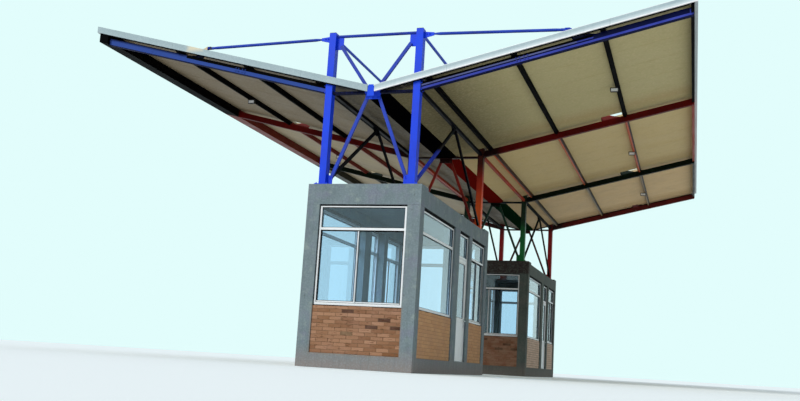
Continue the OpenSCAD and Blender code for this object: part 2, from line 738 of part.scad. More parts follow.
centred() at_booth(1) booth_door_glass();  // rear_booth_door_glass
centred() posts(0, blue);  // blue_posts
centred() rafters(0, blue);  // blue_rafters
centred() bracing(0, blue);  // blue_bracing
centred() posts(1, red);  // red_posts
centred() rafters(1, red);  // red_rafters
centred() bracing(1, red);  // red_bracing
centred() posts(2, green);  // green_posts
centred() rafters(2, green);  // green_rafters
centred() bracing(2, green);  // green_bracing
centred() posts(3, crimson);  // crimson_posts
centred() rafters(3, crimson);  // crimson_rafters
centred() bracing(3, crimson);  // crimson_bracing
centred() bay_purlins(0, steel);  // front_bay_purlins
centred() bay_purlins(1, orange);  // middle_bay_purlins
centred() bay_purlins(2, dark_green);  // rear_bay_purlins
centred() bay_side_bracing(0, blue);  // front_bay_side_bracing
centred() bay_side_bracing(1, orange);  // middle_bay_side_bracing
centred() bay_side_bracing(2, dark_green);  // rear_bay_side_bracing
centred() valley_gutter();
centred() roof_panel(-1, left_eave);  // left_roof_panel
centred() roof_panel(1, right_eave);  // right_roof_panel
centred() end_fascias();
centred() eave_fascias();
centred() floodlights();
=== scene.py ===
# Gatehouse of two guard booths under a butterfly canopy.
# Metres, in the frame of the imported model: x across, y back along the booths, z up from the ground.
import math
from itertools import product

import bpy
import numpy as np
from mathutils import Matrix, Vector


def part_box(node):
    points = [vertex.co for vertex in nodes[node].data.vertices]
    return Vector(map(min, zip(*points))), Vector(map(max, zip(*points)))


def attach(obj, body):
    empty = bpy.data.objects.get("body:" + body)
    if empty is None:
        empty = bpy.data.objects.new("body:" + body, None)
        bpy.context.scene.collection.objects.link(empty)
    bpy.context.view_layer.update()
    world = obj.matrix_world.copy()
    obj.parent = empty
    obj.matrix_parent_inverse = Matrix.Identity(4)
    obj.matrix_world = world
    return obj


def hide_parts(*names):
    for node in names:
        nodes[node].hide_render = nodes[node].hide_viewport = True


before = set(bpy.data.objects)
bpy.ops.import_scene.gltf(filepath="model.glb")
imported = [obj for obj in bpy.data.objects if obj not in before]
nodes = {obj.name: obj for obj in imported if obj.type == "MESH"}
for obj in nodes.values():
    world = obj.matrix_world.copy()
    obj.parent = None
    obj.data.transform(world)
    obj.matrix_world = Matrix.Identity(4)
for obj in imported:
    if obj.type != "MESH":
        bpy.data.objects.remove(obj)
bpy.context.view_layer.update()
print("frame loaded:", len(nodes), "nodes")

# The camera, as fitted to the lines of the building
camera = {
    "place": (6.232, -24.890, 0.161),
    "turnLeft": 18.02,      # degrees from straight back
    "pitchUp": 9.58,
    "roll": 3.49,
    "focal": 914.0,         # in pixels of an 800 wide picture
    "centre": (403.0, 209.15),
    "size": (800, 401),
    "sensor": 36.0,
}


def makeCamera(p):
    turn, pitch, roll = (math.radians(p[k]) for k in ("turnLeft", "pitchUp", "roll"))
    ahead = Vector((-math.sin(turn) * math.cos(pitch), math.cos(turn) * math.cos(pitch), math.sin(pitch)))
    level = Vector((math.cos(turn), math.sin(turn), 0))
    above = level.cross(ahead)
    right = level * math.cos(roll) + above * math.sin(roll)
    up = above * math.cos(roll) - level * math.sin(roll)
    wide, high = p["size"]
    data = bpy.data.cameras.new("camera")
    data.sensor_width = p["sensor"]
    data.lens = p["focal"] / wide * p["sensor"]
    data.shift_x = (wide / 2 - p["centre"][0]) / wide
    data.shift_y = (p["centre"][1] - high / 2) / wide
    data.clip_end = 500
    made = bpy.data.objects.new("camera", data)
    made.matrix_world = Matrix.Translation(p["place"]) @ Matrix((right, up, -ahead)).transposed().to_4x4()
    bpy.context.collection.objects.link(made)
    bpy.context.scene.camera = made


makeCamera(camera)

# Sizes of a booth and of the canopy, as in the solids
booth = {
    "halfWidth": 1.15, "depth": 5.9, "floor": 0.27, "sill": 1.17, "head": 3.10, "column": 0.26,
    "longBay": 2.44, "wideColumn": 0.40, "doorBay": 0.90, "slimColumn": 0.25, "transom": 2.63, "bar": 0.05,
    "windowBack": 0.04, "barDepth": 0.06, "glass": 0.008, "doorHead": 2.54,
    "leaf": 0.045, "stile": 0.075, "gap": 0.007, "kick": 0.12,
}
steel = {
    "postX": 0.91, "postWidth": 0.14, "postDepth": 0.17, "postTop": 6.60, "plateTop": 3.516, "gusset": 0.014,
    "tieHeight": 6.50, "braceDepth": 0.045, "rafterDepth": 0.15, "rafterWidth": 0.10,
    "purlinDepth": 0.06, "purlinWidth": 0.10, "firstPurlin": 1.18, "purlinPitch": 1.63,
    "leftRafter": 6.18, "rightRafter": 5.98, "leftEave": 6.45, "rightEave": 6.05, "valleyGap": 0.17,
    "panel": 0.05, "lugX": 3.74, "lugRise": 0.254, "lugHole": (3.66, 4.328), "lugHoleHalf": 0.17,
    "link": 0.045, "lowerHead": 0.12, "gripDown": 0.06, "gripUp": 0.11, "over": 0.13,
}
slopeAngle = math.radians(13.7)
slope = math.tan(slopeAngle)
cosine = 1 / math.hypot(1, slope)
valleyHeight = 5.12
middleX = (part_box("front_booth_base")[0].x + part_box("front_booth_base")[1].x) / 2
boothFront = {name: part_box(f"{name}_booth_base")[0].y for name in ("front", "rear")}
frameY = [boothFront[name] + y for name in ("front", "rear") for y in (0.15, 5.75)]
roofStart, roofEnd = frameY[0] - steel["over"], frameY[3] + steel["over"]
# The sheet's two faces, plumb over the rafters' underside
panelLow = (steel["rafterDepth"] + steel["purlinDepth"] + 0.0006) / cosine
panelHigh = panelLow + steel["panel"] / cosine
linkHeight = valleyHeight + slope * steel["valleyGap"] + panelLow - steel["link"]
fasciaLow = panelLow - 0.019
fasciaHigh = fasciaLow + 0.135
far = 50.0      # past the building on every side


def under(x):       # height of the rafters' underside at a distance from the valley line
    return valleyHeight + slope * abs(x)


# Materials

# sRGB hex to linear light
def linear(hexColour, alpha=1.0):
    parts = np.array([int(hexColour[i:i + 2], 16) for i in (1, 3, 5)]) / 255
    return (*np.where(parts <= 0.04045, parts / 12.92, ((parts + 0.055) / 1.055) ** 2.4), alpha)


# One node, its settings, then values or links by socket. A node given as a value links its first output
def addNode(tree, kind, sockets=(), **settings):
    made = tree.nodes.new("ShaderNode" + kind)
    for name, value in settings.items():
        setattr(made, name, value)
    for socket, value in dict(sockets).items():
        if isinstance(value, bpy.types.Node):
            value = value.outputs[0]
        if isinstance(value, bpy.types.NodeSocket):
            tree.links.new(value, made.inputs[socket])
        else:
            made.inputs[socket].default_value = value
    return made


def startMaterial(name):
    made = bpy.data.materials.new(name)
    made.use_nodes = True
    tree = made.node_tree
    tree.nodes.clear()
    place = addNode(tree, "TexCoord").outputs["Object"]
    return made, tree, place


def endMaterial(tree, shader):
    addNode(tree, "OutputMaterial", {"Surface": shader})


# As strong as asked inside a box of the model and 0 outside it, with an edge as wide as asked:
# the largest of a point's three distances past the box's faces decides
def boxMask(tree, place, low, high, edge, strength):
    low, high = np.array(low, float), np.array(high, float)
    away = addNode(tree, "VectorMath", {0: place, 1: tuple((low + high) / 2)}, operation="SUBTRACT")
    away = addNode(tree, "VectorMath", {0: away}, operation="ABSOLUTE")
    away = addNode(tree, "VectorMath", {0: away, 1: tuple((high - low) / 2)}, operation="SUBTRACT")
    x, y, z = addNode(tree, "SeparateXYZ", {0: away}).outputs
    worst = addNode(tree, "Math", {0: x, 1: y}, operation="MAXIMUM")
    worst = addNode(tree, "Math", {0: worst, 1: z}, operation="MAXIMUM")
    return addNode(tree, "MapRange", {0: worst, 1: 0.0, 2: -edge, 3: 0.0, 4: strength})


# Height of a point over the rafters' underside: z - valley height - slope |x - middle|
def overRafters(tree, place):
    x, y, z = addNode(tree, "SeparateXYZ", {0: place}).outputs
    away = addNode(tree, "Math", {0: x, 1: middleX}, operation="SUBTRACT")
    away = addNode(tree, "Math", {0: away}, operation="ABSOLUTE")
    over = addNode(tree, "Math", {0: away, 1: -slope, 2: z}, operation="MULTIPLY_ADD")
    return addNode(tree, "Math", {0: over, 1: valleyHeight}, operation="SUBTRACT")


# Tones laid over a colour one after another, each as strong as its mask
def layTones(tree, colour, layers):
    for mask, tone in layers:
        mix = addNode(tree, "Mix", {0: mask, 6: colour, 7: linear(tone)}, data_type="RGBA")
        colour = mix.outputs[2]
    return colour


# A finish is a dark tone that drifts to the base one over clouds of a real size. Over it go blotches of other
# tones; other paints, painted light and painted shade inside boxes, by height over the rafters and inside
# boxes again; fine light grain; and runs down the upright faces, where its dictionary names them
def weatheredWithPaintedLight(name, p):
    made, tree, place = startMaterial(name)
    noise = {"Vector": place, "Roughness": 0.6}
    cloud = addNode(tree, "TexNoise", {**noise, "Scale": 1 / p["cloud"], "Detail": 5.0}).outputs["Fac"]
    grain = addNode(tree, "TexNoise", {**noise, "Scale": 1 / p["grain"], "Detail": 3.0}).outputs["Fac"]
    layers = [(addNode(tree, "MapRange", {0: cloud, 1: 0.32, 2: 0.68}), p["base"])]
    for size, start, end, tone, strength in p.get("blotches", ()):
        spots = addNode(tree, "TexNoise", {**noise, "Scale": 1 / size, "Detail": 5.0, "Roughness": 0.62})
        mask = addNode(tree, "MapRange", {0: spots.outputs["Fac"], 1: start, 2: end, 3: 0.0, 4: strength})
        layers.append((mask, tone))
    for *box, tone in p.get("boxes", ()):
        layers.append((boxMask(tree, place, *box), tone))
    for start, end, tone in p.get("rise", ()):
        layers.append((addNode(tree, "MapRange", {0: overRafters(tree, place), 1: start, 2: end}), tone))
    for *box, tone in p.get("over", ()):
        layers.append((boxMask(tree, place, *box), tone))
    lift = addNode(tree, "MapRange", {0: grain, 1: 0.45, 2: 0.8, 3: 0.0, 4: p.get("grainMix", 0.5)})
    layers.append((lift, p["light"]))
    if "runs" in p:     # long narrow noise, stretched down the face
        strength, width, tone = p["runs"]
        squeeze = addNode(tree, "Mapping", {"Vector": place, "Scale": (1 / width, 1 / width, 0.9)})
        runs = addNode(tree, "TexNoise", {"Vector": squeeze, "Scale": 1.0, "Detail": 3.0, "Roughness": 0.65})
        mask = addNode(tree, "MapRange", {0: runs.outputs["Fac"], 1: 0.5, 2: 0.75, 3: 0.0, 4: strength})
        layers.append((mask, tone))
    bump = addNode(tree, "Bump", {"Height": grain, "Distance": p["bump"], "Strength": 0.6})
    rough = addNode(tree, "MapRange", {0: cloud, 1: 0.3, 2: 0.7, 3: p["rough"][0], 4: p["rough"][1]})
    endMaterial(tree, addNode(tree, "BsdfPrincipled", {
        "Base Color": layTones(tree, linear(p["dark"]), layers), "Roughness": rough, "Normal": bump,
        "Metallic": p.get("metallic", 0.0), "Specular IOR Level": p.get("shine", 0.5)}))
    return made


# A finish by its three tones, the rest by name. Its runs are their strength, width and colour
def finishOf(base, light, dark, **more):
    return {"base": base, "light": light, "dark": dark, **more}


def concrete(base, light, dark, **more):
    return finishOf(base, light, dark, cloud=0.4, grain=0.03, bump=0.004, shine=0.3, **more)


# Gloss enamel brushed on steel by hand and gone chalky outdoors: a weak shine, drips and pale dust
def enamel(base, light, dark, **more):
    usual = {"cloud": 0.5, "grain": 0.02, "grainMix": 0.16, "runs": (0.2, 0.03, dark), "bump": 0.001,
             "rough": (0.4, 0.56), "shine": 0.2}
    return finishOf(base, light, dark, **{**usual, **more})


# Coated roof sheet, dulled by dust and pale on its top
def roofSheet(base, light, dark, **more):
    return finishOf(base, light, dark, grain=0.05, grainMix=0.3, bump=0.001, rough=(0.55, 0.7), shine=0.2,
                  rise=[(panelLow + 0.02, panelLow + 0.03, "#c9bd9a")], **more)


def fasciaSheet(base, light, dark, lip, **more):
    return finishOf(base, light, dark, cloud=0.8, grain=0.03, grainMix=0.35, runs=(0.2, 0.06, "#93a6ab"),
                  bump=0.0008, rough=(0.4, 0.55), rise=fasciaBandsAndHighlights(lip), **more)


# A box with the bounds that are named and open on its other sides: x from the valley line, y and z
def zone(tone, edge=0.01, strength=1.0, **bounds):
    low, high = [-far] * 3, [far] * 3
    for axis, (start, end) in bounds.items():
        i = "xyz".index(axis)
        shift = middleX if axis == "x" else 0.0
        low[i], high[i] = start + shift, end + shift
    return low, high, edge, strength, tone


# Painted shade: the rafters darker round the posts' heads, and the feet of the lugs darker where they stand
# in shade under the roof
def paintedJointShade(tone):
    return zone(tone, 0.25, x=(-1.55, 1.55))


def paintedLugShade(tone, top=6.36):
    return [zone(tone, 0.02, x=side, z=(5.0, top)) for side in ((-4.5, -3.5), (3.5, 4.5))]


# Painted shade on the purlins' uphill faces
def purlinEdgeShade(tone):      # the edge of each right purlin that faces up the slope
    middles = [steel["firstPurlin"] + n * steel["purlinPitch"] - 0.036 for n in range(3)]
    return [zone(tone, 0.004, x=(x + 0.016, x + 0.075)) for x in middles]


def bayBounds(i):
    return frameY[i], frameY[i + 1]


# Bands of a fascia by height: a pale drift to its foot, and painted highlights along its lip, as high as
# asked, and along the fold at its top
def fasciaBandsAndHighlights(lip):
    edge = fasciaLow + lip
    return [(fasciaLow + 0.085, fasciaLow + 0.02, "#dceaec"), (edge + 0.001, edge - 0.001, "#ffffff"),
            (fasciaHigh - 0.008, fasciaHigh - 0.007, "#fafefe")]


def sheetJoints(axis, ends):        # thin shadow lines where two lengths of fascia meet
    places = np.arange(ends[0] + 1.51, ends[1], 3.02)
    return [zone("#66787c", 0.001, 0.8, **{axis: (at - 0.003, at + 0.003)}) for at in places]


# Painted shade: near black on the heads of the openings, and dark in the valley over the front frame
soffitShade = zone("#17191a", 0.001, z=(booth["head"] - 0.0015, booth["head"] + 0.0015))
valleyShade = zone("#14120e", 0.2, x=(-1.2, 1.2), y=(-far, frameY[0] + 0.3))
frontWall = (-far, boothFront["front"] + 0.04)
rearBeam = (boothFront["rear"] - 1, boothFront["rear"] + 0.2)
wallSides = ((-2.0, -1.1), (1.1, 2.0))
flangeSides = ((-0.84, -0.14), (0.14, 0.84))
eaves = (0.003 - steel["leftEave"], steel["rightEave"] - 0.021)
bayPaints = (("#0c0d0f", (-far, frameY[1])), ("#540e0a", bayBounds(1)), ("#0c1410", (frameY[2], far)))
finishes = {
    # cast concrete, struck from plywood and rubbed: matt, blotchy, with rain runs and dust at its foot
    "castConcrete": concrete(
        "#7c8c90", "#9dabad", "#6c7c80", runs=(0.35, 0.07, "#5f6c6e"), rough=(0.82, 0.95),
        blotches=[(0.32, 0.5, 0.68, "#7b7d90", 0.6), (0.21, 0.54, 0.7, "#93a19a", 0.7),
                  (0.05, 0.62, 0.72, "#59625f", 0.7)],
        boxes=[soffitShade, zone("#8a8480", 0.4, z=(-1.0, 0.45)),
               zone("#8c7c6c", 0.05, 0.6, x=(-0.93, 0.93), y=frontWall, z=(0.22, 1.2))]),
    # the same concrete, painted darker and green-black as painted shade under the roof, its front beam near
    # black as painted shade
    "shadedRearConcrete": concrete(
        "#5c6660", "#788278", "#49534e", runs=(0.4, 0.07, "#3c4440"), rough=(0.8, 0.93),
        blotches=[(0.3, 0.5, 0.68, "#66625e", 0.6), (0.06, 0.6, 0.72, "#3a403c", 0.7)],
        boxes=[soffitShade, zone("#2e2422", 0.05, y=rearBeam, z=(3.08, 4.0)),
               zone("#6e6a64", 0.4, z=(-1.0, 0.45))]),
    # lime and cement mortar, brushed level
    "jointMortar": finishOf(
        "#8d7258", "#a58a6c", "#6e563e", cloud=0.2, grain=0.012, grainMix=0.6, bump=0.003,
        rough=(0.9, 0.97), shine=0.2, blotches=[(0.12, 0.55, 0.62, "#4c2f18", 0.9)],
        boxes=[zone("#b08a66", 0.02, x=side, y=(-far, boothFront["rear"] - 1)) for side in wallSides]),
    # polyester powder coat on aluminium: even, half gloss, a little dust in the corners
    "whitePowderCoat": finishOf("#f6fafa", "#ffffff", "#e6ecec", cloud=0.4, grain=0.01, grainMix=0.3,
                              runs=(0.12, 0.03, "#c6cac4"), bump=0.0004, rough=(0.32, 0.45)),
    # one paint per frame; the rafters carry a duller, darker copy of it than the posts, as painted shade
    # under the roof
    "bluePostEnamel": enamel("#0648f0", "#1c58f6", "#083ad4", blotches=[(0.03, 0.7, 0.76, "#141c50", 0.8)]),
    "blueRafterEnamel": enamel(
        "#4652b2", "#5864c2", "#323e9c", shine=0.04, rough=(0.55, 0.7),
        # painted light: the left rafter paler; painted shade: near black on the link between the posts
        boxes=[zone("#34509a", 0.3, x=(-far, -0.9)),
               *(zone("#06081c", 0.002, x=side, z=(5.0, 5.6)) for side in flangeSides)],
        # painted shade: dark along the top of the rafters' faces and on their undersides
        rise=[(0.095, 0.15, "#02030f"), (0.014, 0.009, "#03062a")],
        # painted light: the valley plate in the posts' brighter blue
        over=[zone("#2c58f0", 0.01, z=(4.9, 5.7), x=(-0.16, 0.16))]),
    # painted shade on the lug feet, here and in the other frames' brace paints
    "blueBraceEnamel": enamel(
        "#2046c0", "#4060d0", "#182c90",
        boxes=[*paintedLugShade("#080a1c"), zone("#0e1036", 0.01, x=(-3.84, -3.66), z=(6.3, far)),
               zone("#e6cfa4", 0.004, x=(-far, -steel["lugX"] - 0.035), z=(6.3, far))]),
    "redPostEnamel": enamel("#d43c1c", "#ee6a38", "#ac2814", boxes=[
        # painted shade: darker and near black towards the top, under the roof; painted light: brighter low
        # down
        zone("#8c1e10", 0.6, z=(4.45, far)), zone("#180604", 0.4, z=(4.8, far)),
        zone("#ff6a28", 0.5, 0.9, z=(-far, 4.55))]),
    "redRafterEnamel": enamel("#680c08", "#801c14", "#4a0806", shine=0.08, boxes=[paintedJointShade("#140606")]),
    "redBraceEnamel": enamel("#a02818", "#c04828", "#5c100c", boxes=paintedLugShade("#641410")),
    "greenPostEnamel": enamel("#107c38", "#2ca055", "#0a5a28", boxes=[
        # painted shade: darker and near black towards the top, under the roof
        zone("#0a3a1c", 0.6, z=(4.1, far)), zone("#030a05", 0.25, z=(4.55, far))]),
    "greenRafterEnamel": enamel("#0a1608", "#182a16", "#050c05", shine=0.05, boxes=[paintedJointShade("#060a08")]),
    "greenBraceEnamel": enamel("#0e3422", "#1f5236", "#082016", boxes=paintedLugShade("#081610")),
    # painted shade: darker at the top, under the roof
    "crimsonPostEnamel": enamel("#b41c24", "#cc3c38", "#8c1216", boxes=[zone("#4a0c10", 0.6, z=(4.9, far))]),
    "crimsonRafterEnamel": enamel("#6c100c", "#8c2418", "#4a0a08", boxes=[paintedJointShade("#220a0a")]),
    "crimsonBraceEnamel": enamel("#5c1412", "#7c2a20", "#380a0a", boxes=paintedLugShade("#3c0c0a")),
    # the first frame's blue on the front bay's side bracing: near black as painted shade under the roof, blue
    # on the lower legs of the right bracing and pale blue on the ties above the roof as painted light
    "shadedBlueBraceEnamel": enamel("#07080f", "#14182a", "#04050a", shine=0.03, boxes=[
        zone("#1e34a8", 0.1, x=(0.5, 1.4), y=(frameY[0] - 1, frameY[0] + 1.75), z=(3.0, 4.6)),
        zone("#5070ff", 0.01, z=(6.2, 7.0))]),
    "blackEnamel": enamel("#060607", "#121314", "#040405", rough=(0.6, 0.75), shine=0.02),
    # lit undersides; painted shade on the uphill edges of the right purlins and over the purlins of the left
    # wing
    "orangeEnamel": enamel("#d8683a", "#eca070", "#b04a24", shine=0.1, boxes=[
        *purlinEdgeShade("#1c0a08"), zone("#6a140e", 0.01, x=(-far, 0.0)), zone("#8c2c18", 0.01, x=(5.9, far))]),
    # a painted shadow line and a painted highlight for the right front rafter
    "shadowLineEnamel": enamel("#060f44", "#0c1856", "#03082a", shine=0.04),
    "highlightLineEnamel": enamel("#666ea2", "#8088b8", "#4c5488", shine=0.1),
    "orangeTieEnamel": enamel("#b8401e", "#cc6540", "#802612", shine=0.12),
    "blackGreenEnamel": enamel("#08100a", "#162018", "#040805", rough=(0.6, 0.75), shine=0.03),
    # painted shade on the uphill edges of the right purlins and over the purlins of the left wing
    "khakiPurlinEnamel": enamel("#9c8258", "#b09a70", "#80683f", shine=0.1, boxes=[
        *purlinEdgeShade("#0a0c0a"), zone("#101812", 0.01, x=(-far, 0.0)), zone("#0c1410", 0.01, x=(5.9, far))]),
    # galvanized channel under the paint of its bay
    "gutterPaint": enamel("#050506", "#0c0c0e", "#030304", grainMix=0.2, rough=(0.7, 0.8), shine=0.0, boxes=[
        zone("#6c120c", y=bayBounds(1)), zone("#0c2a18", y=(frameY[2], far))]),
    # galvanized sheet under one coat of grey paint
    "flashingPaint": finishOf("#6f716b", "#8c8e87", "#50524d", cloud=0.35, grain=0.015, bump=0.001,
                            rough=(0.5, 0.65), metallic=0.2),
    # cream-coated roof sheet: each bay its own tone, the front bay darkest, as painted shade; ochre-brown
    # where it meets the next frame and dark in the valley, as painted shade; pale where it stands out over
    # the front frame, as painted light
    "rightCoatedSheet": roofSheet(
        "#efd09a", "#f2dcb4", "#e0c088", cloud=0.9, runs=(0.15, 0.25, "#a88f60"),
        boxes=[zone("#dcc68c", y=bayBounds(1)), zone("#c6bc88", y=(-far, frameY[1])),
               *(zone("#b4905a", 1.1, 0.75, y=(y - 1.2, y)) for y in frameY[1:]),
               zone("#7f764f", 1.3, x=(-2.5, 2.5), y=(-far, frameY[1] + 0.6)),
               zone("#b4bac2", 0.02, y=(-far, frameY[0] - 0.02)), valleyShade]),
    # the same sheet on the left wing, painted darker all over as painted shade, darker again in the front bay
    # and the valley, and near black over the front frame's overhang as painted shade
    "leftCoatedSheet": roofSheet(
        "#b5a888", "#c4b8a0", "#a4977c", cloud=0.7, runs=(0.15, 0.25, "#857a62"),
        boxes=[zone("#86785f", y=(-far, frameY[1])), zone("#5c523c", 1.0, x=(-2.0, 2.0)),
               zone("#26282e", 0.02, y=(-far, frameY[0] - 0.02)), valleyShade]),
    # pale blue-grey coated sheet of the fascias, painted duller on the left wing as painted shade, and primed
    # red inside the rear one
    "endFasciaSheet": fasciaSheet("#afc4c9", "#c6d8da", "#9cb2b8", 0.0185, over=[
        zone("#93aaaf", 0.02, 0.95, x=(-far, 0.0)), *sheetJoints("x", (-6.04, 6.04)),
        zone("#e0d4b0", 0.1, 0.9, x=(-4.2, -3.76), y=(-far, 0.0), z=(6.30, far)),
        zone("#4e100c", 0.004, y=(roofEnd - 1, roofEnd + 0.027))]),
    # the eave fascias are painted inside like their bays
    "eaveFasciaSheet": fasciaSheet("#b4c8ca", "#cadadb", "#a0b5b9", -0.1, boxes=[
        *sheetJoints("y", (roofStart, roofEnd)),
        *(zone(tone, 0.003, x=eaves, y=y) for tone, y in bayPaints)]),
    # dark powder coat on cast aluminium
    "castHousing": finishOf("#141518", "#2a2c31", "#0c0d0f", cloud=0.1, grain=0.006, grainMix=0.4,
                          bump=0.0006, rough=(0.5, 0.6), shine=0.2),
    # frosted glass before a white reflector
    "frostedLens": finishOf("#fcffff", "#ffffff", "#f0f6f6", cloud=0.06, grain=0.004, bump=0.0002,
                          rough=(0.2, 0.3)),
    # EPDM gasket, matt with a grey bloom
    "blackRubber": finishOf("#060708", "#15181a", "#040405", cloud=0.2, grain=0.004, bump=0.0003,
                          rough=(0.75, 0.88), shine=0.06),
    # stainless steel, ground along its length
    "brushedSteel": finishOf("#b5b8ba", "#d6d8da", "#96999c", cloud=0.05, grain=0.002, bump=0.0002,
                           rough=(0.28, 0.4), metallic=1.0),
}
materials = {name: weatheredWithPaintedLight(name, p) for name, p in finishes.items()}


# Clear float glass in closed panes, with a faint blue body: seen through, and mirror-like at a slant.
# Lamps shine straight through it, and dust roughens it a little in patches
def floatGlass(name, p):
    made, tree, place = startMaterial(name)
    dust = addNode(tree, "TexNoise", {"Vector": place, "Scale": 1 / p["dustSize"], "Detail": 4.0})
    rough = {0: dust.outputs["Fac"], 1: 0.55, 2: 0.85, 3: p["rough"][0], 4: p["rough"][1]}
    body = addNode(tree, "BsdfPrincipled", {
        "Base Color": linear(p["tint"]), "Roughness": addNode(tree, "MapRange", rough), "IOR": 1.52,
        "Transmission Weight": 1.0})
    clear = addNode(tree, "BsdfTransparent", {"Color": linear(p["tint"])})
    shadow = addNode(tree, "LightPath").outputs["Is Shadow Ray"]
    endMaterial(tree, addNode(tree, "MixShader", {0: shadow, 1: body, 2: clear}))
    return made


materials["floatGlass"] = floatGlass("floatGlass", {"tint": "#e0f1ff", "dustSize": 0.4, "rough": (0.0, 0.03)})

dressing = {
    "base": "castConcrete", "columns": "castConcrete", "cross_beams": "castConcrete", "roof": "castConcrete",
    "brick_panels": "jointMortar", "window_frames": "whitePowderCoat", "glass": "floatGlass",
    "door_frame": "whitePowderCoat", "door": "whitePowderCoat", "door_glass": "floatGlass",
}
colours = ["blue", "red", "green", "crimson"]
nodeFinish = {f"{name}_booth_{part}": finished
              for name in ("front", "rear") for part, finished in dressing.items()}
for name, finished in list(nodeFinish.items()):
    # the rear booth takes the darker copy of the concrete, as painted shade
    if name.startswith("rear") and finished == "castConcrete":
        nodeFinish[name] = "shadedRearConcrete"
paintWords = {"posts": "Post", "rafters": "Rafter", "bracing": "Brace"}
for colour, (part, word) in product(colours, paintWords.items()):
    nodeFinish[f"{colour}_{part}"] = f"{colour}{word}Enamel"
nodeFinish.update({
    "front_bay_purlins": "blackEnamel", "front_bay_side_bracing": "shadedBlueBraceEnamel",
    "middle_bay_purlins": "orangeEnamel", "middle_bay_side_bracing": "orangeTieEnamel",
    "rear_bay_purlins": "khakiPurlinEnamel", "rear_bay_side_bracing": "blackGreenEnamel",
    "valley_gutter": "gutterPaint",
    "left_roof_panel": "leftCoatedSheet", "right_roof_panel": "rightCoatedSheet",
    "end_fascias": "endFasciaSheet", "eave_fascias": "eaveFasciaSheet", "floodlights": "castHousing",
})
for name, finished in nodeFinish.items():
    nodes[name].data.materials.clear()
    nodes[name].data.materials.append(materials[finished])
print("materials on", len(nodeFinish), "nodes")

# Shapes. A part is its vertices and a list of face arrays, one array for each number of sides
random = np.random.default_rng(11)


# Faces of a box whose edges are cut. Corner 4i + 2j + k has three vertices, one on each of its faces:
# the six faces join four vertices of one axis, the twelve cut edges two axes, the eight cut corners all three
def boxPattern():
    step = np.array((4, 2, 1))
    quads, corners = [], []
    for a in range(3):
        b, c = (a + 1) % 3, (a + 2) % 3
        for s in (0, 1):
            ring = s * step[a] + np.array((0, step[b], step[b] + step[c], step[c]))
            quads.append((ring if s else ring[::-1]) * 3 + a)
            for t in (0, 1):
                near = s * step[a] + t * step[b]
                beyond = near + step[c]
                strip = np.array((near * 3 + a, beyond * 3 + a, beyond * 3 + b, near * 3 + b))
                quads.append(strip if s != t else strip[::-1])
    signs = np.array(np.unravel_index(np.arange(8), (2, 2, 2))).T * 2 - 1
    for corner in range(8):
        triangle = np.arange(3) + 3 * corner
        corners.append(triangle if signs[corner].prod() > 0 else triangle[::-1])
    return signs, np.array(quads), np.array(corners)


boxSigns, boxQuads, boxCorners = boxPattern()


# Many boxes with cut edges at once: each vertex is the box's middle plus its half size less the cut, by sign
def cutBoxes(low, high, cut):
    low, high = np.atleast_2d(low).astype(float), np.atleast_2d(high).astype(float)
    middle, half = (low + high) / 2, (high - low) / 2
    cut = np.minimum(cut, half.min(1) * 0.45)[:, None, None, None]
    less = cut * (1 - np.eye(3))[None, None]
    verts = middle[:, None, None] + boxSigns[None, :, None] * (half[:, None, None] - less)
    start = 24 * np.arange(len(low))[:, None, None]
    faces = [(boxQuads + start).reshape(-1, 4), (boxCorners + start).reshape(-1, 3)]
    return verts.reshape(-1, 3), faces


# A profile of radius and height, turned about an axis from a foot point: r(cos a, sin a) + h
def lathe(profile, foot, axis, sides):
    axis = np.array(axis, float) / np.linalg.norm(axis)
    side = np.cross(axis, (0, 0, 1) if abs(axis[2]) < 0.9 else (1, 0, 0))
    side /= np.linalg.norm(side)
    other = np.cross(axis, side)
    angle = np.arange(sides) / sides * 2 * np.pi
    profile = np.array(profile, float)
    circle = np.cos(angle)[:, None] * side + np.sin(angle)[:, None] * other
    verts = np.array(foot, float) + profile[:, 0, None, None] * circle + profile[:, 1, None, None] * axis
    i, j = np.meshgrid(np.arange(len(profile) - 1), np.arange(sides), indexing="ij")
    k = (j + 1) % sides
    here, above = i * sides, (i + 1) * sides
    wall = np.stack([here + j, here + k, above + k, above + j], -1).reshape(-1, 4)
    ends = np.stack([np.arange(sides)[::-1], (len(profile) - 1) * sides + np.arange(sides)])
    return verts.reshape(-1, 3), [wall, ends]


# Hexagon head with a cut rim on a washer, and the end of its thread
def bolt(foot, axis, size=0.024):
    head = lathe([(size * 0.95, 0), (size * 0.95, size * 0.16)], foot, axis, 16)
    up = np.array(foot) + np.array(axis, float) * size * 0.16
    hexagon = lathe([(size * 0.58, 0), (size * 0.58, size * 0.5), (size * 0.5, size * 0.62)], up, axis, 6)
    thread = lathe([(size * 0.3, 0), (size * 0.3, size * 0.95), (size * 0.24, size * 1.02)], up, axis, 10)
    return [head, hexagon, thread]


def makePiece(name, parts, finish, body="building", tone=None, smooth=False):
    faces, start = [], 0
    for verts, groups in parts:
        for group in groups:
            faces += (group + start).tolist()
        start += len(verts)
    mesh = bpy.data.meshes.new(name)
    mesh.from_pydata(np.concatenate([verts for verts, groups in parts]).tolist(), [], faces)
    mesh.materials.append(materials[finish])
    if tone is not None:
        mesh.attributes.new("tone", "FLOAT", "POINT").data.foreach_set("value", np.asarray(tone, np.float32))
    if smooth:
        mesh.shade_smooth()
        mesh.set_sharp_from_angle(angle=math.radians(35))
    made = bpy.data.objects.new(name, mesh)
    bpy.context.collection.objects.link(made)
    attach(made, body)
    return made


